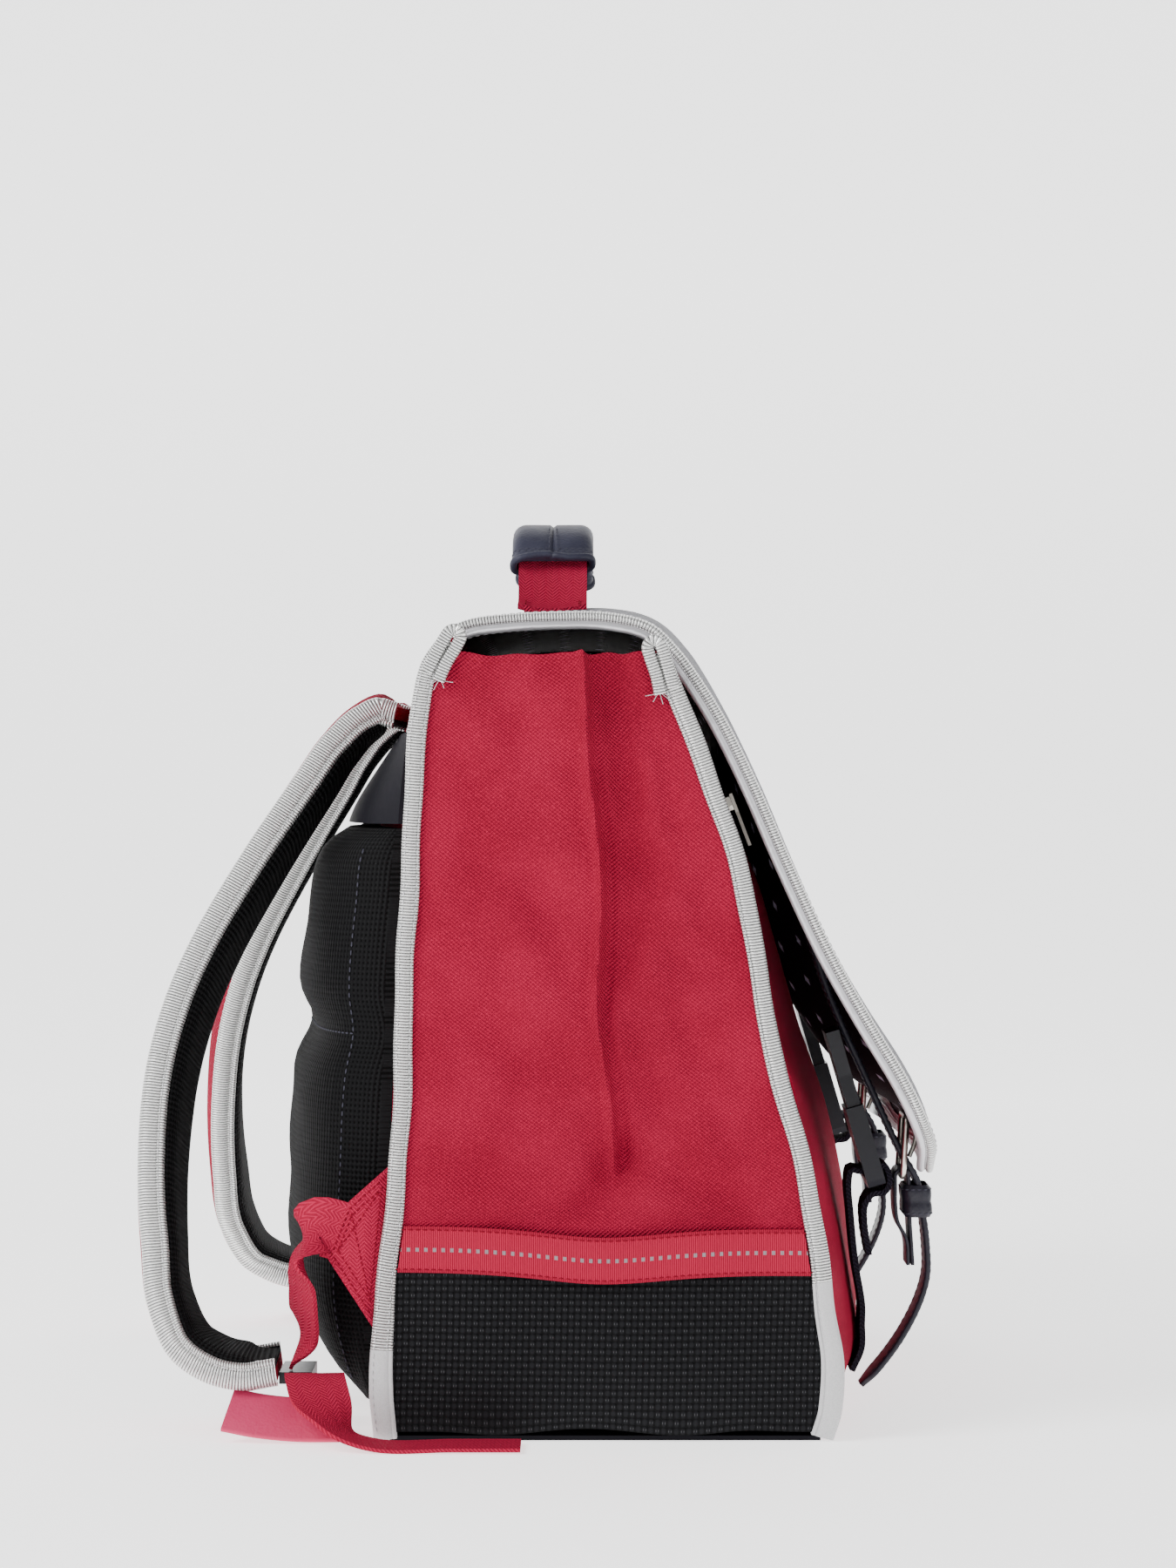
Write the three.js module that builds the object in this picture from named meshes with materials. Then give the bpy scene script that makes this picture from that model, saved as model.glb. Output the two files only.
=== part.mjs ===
import * as THREE from 'three';

// A flap satchel worn on the back. Millimetres. The front faces -Y, the wearer's back is +Y,
// X runs across the width, Z is up, and the origin is the middle of the base's underside.

// Body
const bag_width = 410;
const back_height = 340;
const front_height = back_height - 6;
const gusset_height = back_height - 7;
const base_depth = 200;
const canvas_wall = 1.6;
const base_wall = 2;
const board_wall = 3;
const clearance = 0.3;
const floor_gap = 0.6;

// Gusset relief, and the ribbon between the canvas and the side base
const crease_height = 9;
const crease_nip = 2.2;
const crease_low_z = 112;
const crease_fade = 10;
const ribbon_z = 79;
const ribbon_width = 20;
const ribbon_wall = 1;
const side_base_swell = 3;

// Folded tape that binds the edges
const binding_width = 8;
const binding_wall = 1.2;
const flap_binding_width = 9;

// Back
const back_swell = 24;
const yoke_top_z = back_height * 0.8794;
const yoke_low_z = back_height * 0.7765;
const yoke_wall = 3;
const pad_low_z = 14;
const pad_top_z = back_height * 0.7588;
const pad_thickness = 31;
const pad_middle_gap = 10;
const pad_side_margin = 14;

// Front pocket and its zip
const panel_wall = 2.5;
const pocket_half_width = bag_width * 0.4585;
const pocket_low_z = 14;
const pocket_top_z = back_height * 0.7706;
const pocket_depth = 20;
const pocket_wall = 2;
const zip_height = 12;
const zip_wall = 1.6;
const slider_x = 150;
const slider_length = 11;
const slider_width = 8;
const slider_height = 4;
const pull_length = 24;
const pull_width = 6;
const pull_wall = 1.4;

// Flap
const flap_half_width = bag_width / 2 - 6.5;
const flap_corner = 38;
const flap_crown = 10;
const flap_sag = 14;
const flap_sag_half = 0.58;
const flap_wall = 1.5;
const lining_wall = 1;

// Handle
const handle_y = 24;
const handle_width = 31;
const handle_wall = 2.4;
const handle_foot_x = 104;
const handle_rise = 33;
const grip_width = 37;
const grip_thickness = 13;

// Shoulder straps
const strap_width = 60;
const strap_wall = 5.5;
const strap_crown = 2.4;
const strap_mesh_wall = 2;
const strap_edge_width = 6;
const strap_root_x = bag_width * 0.2317;
const strap_splay = bag_width * 0.1878;
const strap_root_y = base_depth * 0.45;
const strap_root_z = back_height * 0.9206;
const strap_drop = back_height * 0.8618;
const strap_reach = base_depth * 0.55;
const strap_twist = 0.14;
const webbing_width = 25;
const webbing_wall = 1.6;
const tab_wall = 2.4;
const adjuster_wall = 5;
const anchor_high_z = 116;
const anchor_tip_z = 99;
const anchor_low_z = 47;
const anchor_reach = 18;
const adjuster_gap = 0.6;
const adjuster_z = 24.2;
const adjuster_length = 14;
const pull_tab_width = 22;

// Clips, belts and buckles, all centred on one line down each side of the front
const fastening_x = 130;
const clip_width = 32;
const clip_thickness = 8;
const clip_lower_length = 36;
const clip_upper_length = 34;
const clip_prong = 14;
const clip_bar = 4;
const clip_slot = 7;
const belt_width = 22;
const belt_wall = 2.4;
const belt_tab_wall = 1.5;
const buckle_width = 30;
const buckle_height = 29;
const buckle_wire = 2.8;
const keeper_height = 14;
const keeper_depth = 10;
const keeper_wall = 1.2;
const keeper_inside = 23.4;
const keeper_drop = 4;
const keeper_set = 6;
const keeper_slope = 0.05;
const belt_seat = 0.62;
const belt_sewn = 9;

// Outer edge of the back binding, from the floor up.
const back_edge = [
  { up: 0, back: 0.49 },
  { up: 0.059, back: 0.502 },
  { up: 0.168, back: 0.493 },
  { up: 0.275, back: 0.469 },
  { up: 0.382, back: 0.4565 },
  { up: 0.597, back: 0.4435 },
  { up: 0.791, back: 0.429 },
  { up: 0.92, back: 0.41 },
  { up: 0.965, back: 0.3925 },
  { up: 1, back: 0.352 },
];

// Outer edge of the front binding, from the floor up.
const front_edge = [
  { up: 0, back: -0.475 },
  { up: 0.038, back: -0.4965 },
  { up: 0.104, back: -0.5 },
  { up: 0.17, back: -0.482 },
  { up: 0.257, back: -0.46 },
  { up: 0.389, back: -0.418 },
  { up: 0.5, back: -0.3665 },
  { up: 0.608, back: -0.3335 },
  { up: 0.72, back: -0.3025 },
  { up: 0.828, back: -0.24 },
  { up: 0.937, back: -0.17 },
  { up: 1, back: -0.13 },
];

// Place of the gusset's centre crease, as shares of the height and the base depth.
const crease_line = [
  { up: 0, back: -0.005 },
  { up: 0.35, back: -0.0145 },
  { up: 0.53, back: 0.0145 },
  { up: 0.72, back: 0.0185 },
  { up: 1, back: 0.053 },
];

// Soft folds of the gusset: centre, half length and half width as shares of the panel, turn in degrees.
const gusset_folds = [
  { across: 0.44, up: 0.06, length: 0.2, width: 0.035, turn: 60, deep: 3.2 },
  { across: 0.28, up: 0.33, length: 0.24, width: 0.06, turn: -35, deep: 1.8 },
  { across: 0.7, up: 0.3, length: 0.2, width: 0.06, turn: 40, deep: 1.8 },
  { across: 0.3, up: 0.62, length: 0.24, width: 0.07, turn: -48, deep: 1.6 },
  { across: 0.72, up: 0.68, length: 0.2, width: 0.06, turn: 35, deep: 1.6 },
];

// How far the back bulges out at each height, as a share of back_swell.
const back_bulge = [
  { up: 0, swell: 0 },
  { up: 0.1, swell: 0.6 },
  { up: 0.25, swell: 1 },
  { up: 0.6, swell: 1 },
  { up: 0.78, swell: 0.85 },
  { up: 0.9, swell: 0.4 },
  { up: 1, swell: 0 },
];

// Thickness of a back pad from its low end up, as a share of pad_thickness.
const pad_profile = [
  { up: 0, thick: 0.16 },
  { up: 0.05, thick: 0.5 },
  { up: 0.18, thick: 0.86 },
  { up: 0.4, thick: 1 },
  { up: 0.56, thick: 0.99 },
  { up: 0.64, thick: 0.84 },
  { up: 0.72, thick: 0.97 },
  { up: 0.88, thick: 0.8 },
  { up: 0.96, thick: 0.55 },
  { up: 1, thick: 0.2 },
];

// How far the front pocket stands out at each height, as a share of pocket_depth.
const pocket_profile = [
  { up: 0, swell: 0 },
  { up: 0.04, swell: 0.7 },
  { up: 0.12, swell: 0.95 },
  { up: 0.26, swell: 1 },
  { up: 0.45, swell: 0.96 },
  { up: 0.65, swell: 0.82 },
  { up: 0.85, swell: 0.5 },
  { up: 1, swell: 0.06 },
];

// Middle of the flap's cloth from the back seam, over the top and down the front.
const flap_line = [
  { back: 0.3225, up: 1.0015 },
  { back: 0.285, up: 1.0095 },
  { back: 0.215, up: 1.0147 },
  { back: 0.105, up: 1.0177 },
  { back: -0.005, up: 1.0162 },
  { back: -0.085, up: 1.004 },
  { back: -0.1375, up: 0.975 },
  { back: -0.175, up: 0.9456 },
  { back: -0.23, up: 0.8941 },
  { back: -0.3025, up: 0.8088 },
  { back: -0.3665, up: 0.7221 },
  { back: -0.46, up: 0.6044 },
  { back: -0.5425, up: 0.5176 },
  { back: -0.622, up: 0.4397 },
  { back: -0.654, up: 0.4 },
  { back: -0.6735, up: 0.36 },
  { back: -0.667, up: 0.328 },
];

// How far the middle of the flap stands above its edges, as a share of flap_crown.
const flap_dome = [
  { along: 0, rise: 0 },
  { along: 0.15, rise: 1 },
  { along: 0.5, rise: 1 },
  { along: 0.75, rise: 0.85 },
  { along: 1, rise: 1.25 },
];

// How far the flap sags in between the belts, as a share of flap_sag.
const flap_hollow = [
  { along: 0, sag: 0 },
  { along: 0.34, sag: 0 },
  { along: 0.46, sag: 0.6 },
  { along: 0.6, sag: 1 },
  { along: 0.78, sag: 1 },
  { along: 0.9, sag: 0.3 },
  { along: 0.96, sag: 0 },
  { along: 1, sag: 0 },
];

// The handle's sewn foot over the flap, and its free webbing below the top, as shares of
// handle_foot_x and handle_rise.
const handle_foot_line = [
  { across: 1, up: 0 },
  { across: 0.8846, up: 0 },
  { across: 0.7885, up: 0.0758 },
];
const handle_line = [
  { across: 0.7019, below: 0.5455 },
  { across: 0.5769, below: 0.1515 },
  { across: 0.3077, below: 0.0152 },
];

// Webbing from the anchor tab to the adjuster: its middle, and how far it has turned to lie across.
const webbing_line = [
  { back: 0.552, up: 0.25, across: 0.98 },
  { back: 0.595, up: 0.25, across: 0.98 },
  { back: 0.64, up: 0.249, across: 0.975 },
  { back: 0.67, up: 0.222, across: 0.955 },
  { back: 0.68, up: 0.174, across: 0.917 },
  { back: 0.68, up: 0.126, across: 0.868 },
  { back: 0.668, up: 0.101, across: 0.839 },
];

// The webbing's free end: off the adjuster's outer side, down to the floor and along beside the bag.
const tail_line = [
  { back: 0.622, up: 0.0735, across: 0.9215 },
  { back: 0.618, up: 0.081, across: 0.976 },
  { back: 0.6, up: 0.057, across: 1.034 },
  { back: 0.56, up: 0.021, across: 1.083 },
  { back: 0.48, up: 0.005, across: 1.098 },
  { back: 0.32, up: 0.005, across: 1.1 },
  { back: 0.18, up: 0.005, across: 1.1 },
];

// Smooth tab under the end of the strap.
const pull_line = [
  { back: 0.8, up: 0.0385, across: 0.985 },
  { back: 0.73, up: 0.0315, across: 0.995 },
  { back: 0.65, up: 0.0275, across: 1 },
  { back: 0.56, up: 0.0275, across: 1.005 },
];

// Low and high end of a buckle, and of a clip.
const buckle_ends = [
  { up: 0.31, back: -0.6475 },
  { up: 0.387, back: -0.6565 },
];
const clip_ends = [
  { up: 0.2985, back: -0.592 },
  { up: 0.5, back: -0.4915 },
];

// The prong, and the doubled tab below the buckle, in millimetres from the buckle's lower bar.
const prong_line = [
  { back: -3.9, up: 7.5 },
  { back: -6.6, up: 15 },
  { back: -6.4, up: 21 },
  { back: -4.8, up: 27 },
];
const tab_inner_line = [
  { back: -2.7, up: -39 },
  { back: -2, up: -28 },
  { back: 1.9, up: -20 },
  { back: 2.9, up: -12 },
  { back: 2.9, up: -6 },
];
const tab_outer_line = [
  { back: -3, up: -8 },
  { back: -3.3, up: -16 },
  { back: -3.7, up: -24 },
  { back: -4, up: -28 },
  { back: -4.7, up: -39 },
];

// The belt below the flap, through the buckle and the keeper to its free tip.
const belt_line = [
  { back: -0.488, up: 0.5441 },
  { back: -0.585, up: 0.4162 },
  { back: -0.63, up: 0.3588 },
  { back: -0.6475, up: 0.3382 },
  { back: -0.6665, up: 0.3206 },
  { back: -0.6815, up: 0.3029 },
  { back: -0.687, up: 0.2794 },
  { back: -0.696, up: 0.2529 },
  { back: -0.7025, up: 0.2176 },
  { back: -0.703, up: 0.1824 },
  { back: -0.6865, up: 0.1471 },
  { back: -0.65, up: 0.1047 },
  { back: -0.605, up: 0.0676 },
  { back: -0.56, up: 0.0382 },
];

// Webbing of the clip: up the pocket, over the clip's bar and down to its hemmed tail.
const clip_line = [
  { back: -0.56, up: 0.145 },
  { back: -0.545, up: 0.2 },
  { back: -0.535, up: 0.26 },
  { back: -0.53, up: 0.302 },
  { back: -0.5365, up: 0.318 },
  { back: -0.555, up: 0.3165 },
  { back: -0.5815, up: 0.3197 },
  { back: -0.6085, up: 0.3235 },
  { back: -0.619, up: 0.312 },
  { back: -0.619, up: 0.299 },
  { back: -0.608, up: 0.2895 },
  { back: -0.581, up: 0.2865 },
  { back: -0.566, up: 0.273 },
  { back: -0.565, up: 0.247 },
  { back: -0.575, up: 0.209 },
];

// Outer face of a strap from its root: shares of strap_drop and strap_reach.
const strap_line = [
  { down: 0, out: 0 },
  { down: -0.008, out: 0.1 },
  { down: 0.014, out: 0.21 },
  { down: 0.058, out: 0.318 },
  { down: 0.117, out: 0.42 },
  { down: 0.234, out: 0.616 },
  { down: 0.362, out: 0.805 },
  { down: 0.456, out: 0.907 },
  { down: 0.557, out: 0.973 },
  { down: 0.68, out: 1 },
  { down: 0.79, out: 0.99 },
  { down: 0.885, out: 0.955 },
  { down: 0.956, out: 0.86 },
  { down: 0.99, out: 0.72 },
  { down: 1, out: 0.58 },
  { down: 0.994, out: 0.455 },
];

const X = new THREE.Vector3(1, 0, 0);
const Y = new THREE.Vector3(0, 1, 0);
const Z = new THREE.Vector3(0, 0, 1);
const vec = (x, y, z) => new THREE.Vector3(x, y, z);
const mix = THREE.MathUtils.lerp;
const half_width = bag_width / 2;
const channel_half = base_wall / 2 + clearance + binding_wall;
const inner_half = half_width - channel_half - clearance;

// Value of a column where another column has a given value, on a smooth line through the rows.
function read(rows, key, column, at) {
  const last = rows.length - 1;
  let i = 0;
  while (i < last - 1 && rows[i + 1][key] < at) i += 1;
  const slope = (k) => {
    const a = rows[Math.max(0, k - 1)];
    const b = rows[Math.min(last, k + 1)];
    return (b[column] - a[column]) / (b[key] - a[key]);
  };
  const a = rows[i];
  const b = rows[i + 1];
  const span = b[key] - a[key];
  const t = THREE.MathUtils.clamp((at - a[key]) / span, 0, 1);
  const t2 = t * t;
  const t3 = t2 * t;
  return a[column] * (2 * t3 - 3 * t2 + 1) + b[column] * (3 * t2 - 2 * t3)
    + span * (slope(i) * (t3 - 2 * t2 + t) + slope(i + 1) * (t3 - t2));
}

// A closed body from points and faces, turned so that its faces point out.
function body(points, faces) {
  let volume = 0;
  for (const [a, b, c] of faces) {
    volume += points[a].dot(points[b].clone().cross(points[c]));
  }
  const index = volume > 0 ? faces.flat() : faces.map(([a, b, c]) => [a, c, b]).flat();
  const geometry = new THREE.BufferGeometry().setFromPoints(points);
  geometry.setIndex(index);
  geometry.computeVertexNormals();
  return geometry;
}

// A wall between two faces that share a grid of rows and columns.
function wall(rows, columns, front, back) {
  const points = [];
  for (const face of [front, back]) {
    for (const r of rows) {
      for (const c of columns) points.push(face(r, c));
    }
  }
  const nr = rows.length;
  const nc = columns.length;
  const at = (side, r, c) => side * nr * nc + r * nc + c;
  const faces = [];
  const quad = (a, b, c, d) => faces.push([a, b, c], [a, c, d]);
  for (let r = 0; r < nr - 1; r += 1) {
    for (let c = 0; c < nc - 1; c += 1) {
      quad(at(0, r, c), at(0, r, c + 1), at(0, r + 1, c + 1), at(0, r + 1, c));
      quad(at(1, r, c), at(1, r + 1, c), at(1, r + 1, c + 1), at(1, r, c + 1));
    }
  }
  for (let c = 0; c < nc - 1; c += 1) {
    quad(at(0, 0, c), at(1, 0, c), at(1, 0, c + 1), at(0, 0, c + 1));
    quad(at(0, nr - 1, c + 1), at(1, nr - 1, c + 1), at(1, nr - 1, c), at(0, nr - 1, c));
  }
  for (let r = 0; r < nr - 1; r += 1) {
    quad(at(0, r + 1, 0), at(1, r + 1, 0), at(1, r, 0), at(0, r, 0));
    quad(at(0, r, nc - 1), at(1, r, nc - 1), at(1, r + 1, nc - 1), at(0, r + 1, nc - 1));
  }
  return body(points, faces);
}

// A section carried through stations, each with a point and the directions of its two sides.
function sweep(stations, outline, closed = false) {
  const points = [];
  stations.forEach((s, k) => {
    const section = typeof outline === 'function' ? outline(k / (stations.length - 1)) : outline;
    for (const [a, b] of section) {
      points.push(s.at.clone().addScaledVector(s.across, a).addScaledVector(s.out, b));
    }
  });
  const first = typeof outline === 'function' ? outline(0) : outline;
  const n = first.length;
  const faces = [];
  const count = stations.length;
  for (let k = 0; k < (closed ? count : count - 1); k += 1) {
    for (let i = 0; i < n; i += 1) {
      const j = (i + 1) % n;
      const a = k * n + i;
      const b = k * n + j;
      const c = ((k + 1) % count) * n + j;
      const d = ((k + 1) % count) * n + i;
      faces.push([a, b, c], [a, c, d]);
    }
  }
  if (!closed) {
    const flat = first.map(([a, b]) => new THREE.Vector2(a, b));
    const turn = THREE.ShapeUtils.isClockWise(flat) ? -1 : 1;
    const cap = THREE.ShapeUtils.triangulateShape(flat, []);
    const base = (count - 1) * n;
    for (const [a, b, c] of cap) {
      const keep = THREE.ShapeUtils.isClockWise([flat[a], flat[b], flat[c]]) ? -1 : 1;
      const same = keep === turn;
      faces.push(same ? [a, c, b] : [a, b, c]);
      faces.push(same ? [base + a, base + b, base + c] : [base + a, base + c, base + b]);
    }
  }
  return body(points, faces);
}

// A sleeve: the space between two outlines with as many points, carried through stations.
function sleeve(stations, outer, inner) {
  const points = [];
  for (const s of stations) {
    for (const [a, b] of [...outer, ...inner]) {
      points.push(s.at.clone().addScaledVector(s.across, a).addScaledVector(s.out, b));
    }
  }
  const n = outer.length;
  const ring = 2 * n;
  const last = (stations.length - 1) * ring;
  const faces = [];
  const quad = (a, b, c, d) => faces.push([a, b, c], [a, c, d]);
  for (let i = 0; i < n; i += 1) {
    const j = (i + 1) % n;
    for (let k = 0; k < last; k += ring) {
      quad(k + i, k + j, k + ring + j, k + ring + i);
      quad(k + n + j, k + n + i, k + ring + n + i, k + ring + n + j);
    }
    quad(j, i, n + i, n + j);
    quad(last + i, last + j, last + n + j, last + n + i);
  }
  return body(points, faces);
}

const steps = (count) => Array.from({ length: count + 1 }, (_, k) => k / count);
const box_outline = (w, h) => [[-w / 2, -h / 2], [w / 2, -h / 2], [w / 2, h / 2], [-w / 2, h / 2]];

// A rectangle with cut corners.
function soft_outline(w, h, cut) {
  const a = w / 2;
  const b = h / 2;
  return [[-a + cut, -b], [a - cut, -b], [a, -b + cut], [a, b - cut],
    [a - cut, b], [-a + cut, b], [-a, b - cut], [-a, -b + cut]];
}

// A folded tape open towards +across, whose slot is `slot` wide.
function tape_outline(width, slot) {
  const h = slot / 2 + binding_wall;
  const w = binding_wall;
  return [[0, -h], [width, -h], [width, -h + w], [w, -h + w], [w, h - w], [width, h - w], [width, h], [0, h]];
}

// Stations along a smooth line of points, with a side direction given at each share of the line.
function along(points, count, side) {
  const curve = new THREE.CatmullRomCurve3(points, false, 'centripetal');
  return steps(count).map((t) => {
    const tangent = curve.getTangentAt(t);
    const across = side(t).clone();
    across.addScaledVector(tangent, -across.dot(tangent)).normalize();
    return { at: curve.getPointAt(t), across, out: tangent.clone().cross(across) };
  });
}

const back_y = (z) => base_depth * read(back_edge, 'up', 'back', z / back_height);
const front_y = (z) => base_depth * read(front_edge, 'up', 'back', z / front_height);
const crease_y = (z) => base_depth * read(crease_line, 'up', 'back', z / gusset_height);

const root = new THREE.Group();
function add(name, geometry, colour, roughness, metalness = 0) {
  const material = new THREE.MeshStandardMaterial({ color: colour, roughness, metalness });
  const mesh = new THREE.Mesh(geometry, material);
  mesh.name = name;
  root.add(mesh);
}

const red = 0xb63549;
const web_red = 0xc43e56;
const silver = 0xd9d9d5;
const black = 0x212123;
const mesh_black = 0x161617;
const navy = 0x2f2d37;
const leather_navy = 0x474756;
const pink = 0xc24266;
const steel = 0xc9c4b8;
const sides = [{ name: 'left', sign: -1 }, { name: 'right', sign: 1 }];

// Heights that the side panels and their bindings share.
const low_levels = [0.012, 0.06, 0.12, 0.18].map((s) => s * gusset_height).concat(ribbon_z - clearance / 2);
const high_shares = [0, 0.06, 0.12, 0.19, 0.28, 0.4, 0.52, 0.64, 0.76, 0.88, 0.95, 1];
const high_levels = high_shares.map((s) => mix(ribbon_z + clearance / 2, gusset_height, s));

// Columns of a side panel from its back edge to its front edge.
const side_columns = [0, 0.075, 0.2, 0.34, 0.44, 0.48, 0.5, 0.52, 0.56, 0.66, 0.8, 0.925, 1];

// Depth of a column of a side panel: the middle column follows the centre crease.
function side_y(z, share) {
  const inset = binding_wall + 3 * clearance;
  const from = back_y(z) - inset;
  const to = front_y(z) + inset;
  const middle = crease_y(z);
  return share < 0.5 ? mix(from, middle, share * 2) : mix(middle, to, share * 2 - 1);
}

// Zero near the bound edges, one across the middle.
const free_span = (share) => THREE.MathUtils.smoothstep(Math.min(share, 1 - share), 0.09, 0.3);

// How far the canvas stands out of its plane.
function gusset_relief(z, share) {
  const top = THREE.MathUtils.smoothstep(z, crease_low_z, gusset_height);
  const tent = Math.pow(Math.max(0, 1 - Math.abs(share - 0.5) / 0.42), 1.5);
  let relief = crease_height * Math.sqrt(top) * tent;
  if (Math.abs(share - 0.5) < 0.01) {
    const fade = THREE.MathUtils.smoothstep(z, crease_low_z - crease_fade, crease_low_z + crease_fade);
    relief += crease_nip * fade;
  }
  const up = (z - ribbon_z) / (gusset_height - ribbon_z);
  for (const fold of gusset_folds) {
    const angle = THREE.MathUtils.degToRad(fold.turn);
    const dx = (share - fold.across) * 0.6;
    const dy = up - fold.up;
    const far = (dx * Math.cos(angle) + dy * Math.sin(angle)) / fold.length;
    const off = (dy * Math.cos(angle) - dx * Math.sin(angle)) / fold.width;
    relief -= fold.deep * Math.exp(-far * far - off * off);
  }
  const bottom = THREE.MathUtils.smoothstep(z, ribbon_z + ribbon_width / 2, ribbon_z + ribbon_width);
  return relief * free_span(share) * bottom;
}

function side_base_relief(z, share) {
  const up = z / ribbon_z;
  return side_base_swell * Math.sin(Math.PI * Math.min(1, up * 1.25)) * free_span(share);
}

function add_side_panels() {
  for (const { name, sign } of sides) {
    const panel = (levels, relief, thickness) => wall(
      levels,
      side_columns,
      (z, s) => vec(sign * (half_width + relief(z, s) + thickness / 2), side_y(z, s), z),
      (z, s) => vec(sign * (half_width + relief(z, s) - thickness / 2), side_y(z, s), z),
    );
    add(`gusset_${name}`, panel(high_levels, gusset_relief, canvas_wall), red, 0.85);
    add(`side_base_${name}`, panel(low_levels, side_base_relief, base_wall), black, 0.75);
  }
}

// The ribbon lies over the seam, between the mouths of the two bindings.
function add_ribbons() {
  const inner = half_width + base_wall / 2 + clearance;
  const inset = binding_width + 2 * clearance;
  const levels = [ribbon_z - ribbon_width / 2, ribbon_z + ribbon_width / 2];
  const across = (z, s) => mix(back_y(z) - inset, front_y(z) + inset, s);
  for (const { name, sign } of sides) {
    const geometry = wall(
      levels,
      steps(8),
      (z, s) => vec(sign * (inner + ribbon_wall), across(z, s), z),
      (z, s) => vec(sign * inner, across(z, s), z),
    );
    add(`ribbon_${name}`, geometry, web_red, 0.7);
  }
}

// Folded tape along one edge of both side panels, from the floor to the top.
function add_side_bindings() {
  const slot = base_wall + 2 * clearance;
  const edges = [
    { name: 'back', y: back_y, top: back_height, inward: -1 },
    { name: 'front', y: front_y, top: front_height, inward: 1 },
  ];
  for (const edge of edges) {
    const levels = [floor_gap, ...low_levels, ...high_levels.slice(1), edge.top];
    for (const { name, sign } of sides) {
      const stations = levels.map((z) => {
        const slope = (edge.y(z + 1) - edge.y(z - 1)) / 2;
        const tangent = vec(0, slope, 1).normalize();
        const across = vec(0, edge.inward * tangent.z, -edge.inward * tangent.y);
        return { at: vec(sign * half_width, edge.y(z), z), across, out: X };
      });
      const tape = sweep(stations, tape_outline(binding_width, slot));
      add(`${edge.name}_binding_${name}`, tape, silver, 0.45, 0.2);
    }
  }
}

// Outer face of the back board, which bulges between the two bindings.
function back_face(x, z) {
  const swell = back_swell * read(back_bulge, 'up', 'swell', z / back_height);
  return back_y(z) - board_wall + swell * (1 - (x / inner_half) ** 2);
}

const back_low_z = base_wall + floor_gap;
const back_top_z = back_height - 6;
const pad_levels = pad_profile.map((row) => mix(pad_low_z, pad_top_z, row.up));
const yoke_levels = steps(3).map((s) => mix(yoke_low_z, yoke_top_z, s));
const above_yoke = [mix(yoke_top_z, back_top_z, 0.5), back_top_z];
const board_levels = [back_low_z, ...pad_levels, ...yoke_levels, ...above_yoke];

// Columns of a right pad from the middle outwards. All panels on the back share these lines.
const pad_shares = [0, 0.1, 0.36, 0.64, 0.9, 1];
const pad_columns = pad_shares.map((c) => mix(pad_middle_gap / 2, inner_half - pad_side_margin, c));
const mirrored = [...pad_columns].reverse().map((x) => -x);
const board_columns = [-inner_half, ...mirrored, ...pad_columns, inner_half];

// A panel that lies on the back board, with the thickness that each place has.
function on_back(levels, columns, thick) {
  const lift = clearance;
  return wall(
    levels,
    columns,
    (z, x) => vec(x, back_face(x, z) + lift + thick(z, x), z),
    (z, x) => vec(x, back_face(x, z) + lift, z),
  );
}

function add_back() {
  const board = wall(
    board_levels,
    board_columns,
    (z, x) => vec(x, back_face(x, z), z),
    (z, x) => vec(x, back_face(x, z) - board_wall, z),
  );
  add('back_panel', board, red, 0.85);
  const yoke = on_back(yoke_levels, [...mirrored, ...pad_columns], () => yoke_wall);
  add('back_yoke', yoke, mesh_black, 0.7);
}

// Two padded lobes side by side, each with a shallow waist.
function add_back_pads() {
  const half = (inner_half - pad_side_margin - pad_middle_gap / 2) / 2;
  const thick = (z, x) => {
    const off = (Math.abs(x) - pad_middle_gap / 2 - half) / half;
    const up = (z - pad_low_z) / (pad_top_z - pad_low_z);
    const lobe = Math.sqrt(Math.max(0.02, 1 - Math.abs(off) ** 3));
    return pad_thickness * read(pad_profile, 'up', 'thick', up) * lobe;
  };
  add('back_pad_left', on_back(pad_levels, mirrored, thick), mesh_black, 0.9);
  add('back_pad_right', on_back(pad_levels, pad_columns, thick), mesh_black, 0.9);
}

// Outer face of the front panel, and of the pocket that stands out from it.
const front_face = (z) => front_y(z) + board_wall;
const front_top_z = front_height - 6;
function pocket_face(x, z) {
  const up = (z - pocket_low_z) / (pocket_top_z - pocket_low_z);
  const across = Math.max(0, 1 - (x / pocket_half_width) ** 2);
  const swell = pocket_depth * read(pocket_profile, 'up', 'swell', up) * across;
  return front_face(z) - clearance - pocket_wall - swell;
}

function add_front() {
  const rows = [0, 0.02, 0.05, 0.1, 0.17, 0.28, 0.42, 0.58, 0.76, 0.9, 1];
  const z_at = (r) => mix(pocket_low_z, pocket_top_z, r);
  const zip_low = pocket_top_z + clearance;
  const over = [0, zip_height].map((h) => zip_low + h);
  const above = [mix(zip_low + zip_height, front_top_z, 0.5), front_top_z];
  const levels = [back_low_z, ...rows.map(z_at), ...over, ...above];
  const panel = wall(
    levels,
    [-inner_half, inner_half],
    (z, x) => vec(x, front_face(z), z),
    (z, x) => vec(x, front_face(z) + panel_wall, z),
  );
  add('front_panel', panel, red, 0.85);
  const columns = [0, 0.04, 0.12, 0.24, 0.38, 0.5, 0.62, 0.76, 0.88, 0.96, 1];
  const x_at = (c) => mix(-pocket_half_width, pocket_half_width, c);
  const pocket = wall(
    rows,
    columns,
    (r, c) => vec(x_at(c), pocket_face(x_at(c), z_at(r)), z_at(r)),
    (r, c) => vec(x_at(c), pocket_face(x_at(c), z_at(r)) + pocket_wall, z_at(r)),
  );
  add('front_pocket', pocket, red, 0.85);
}

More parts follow.
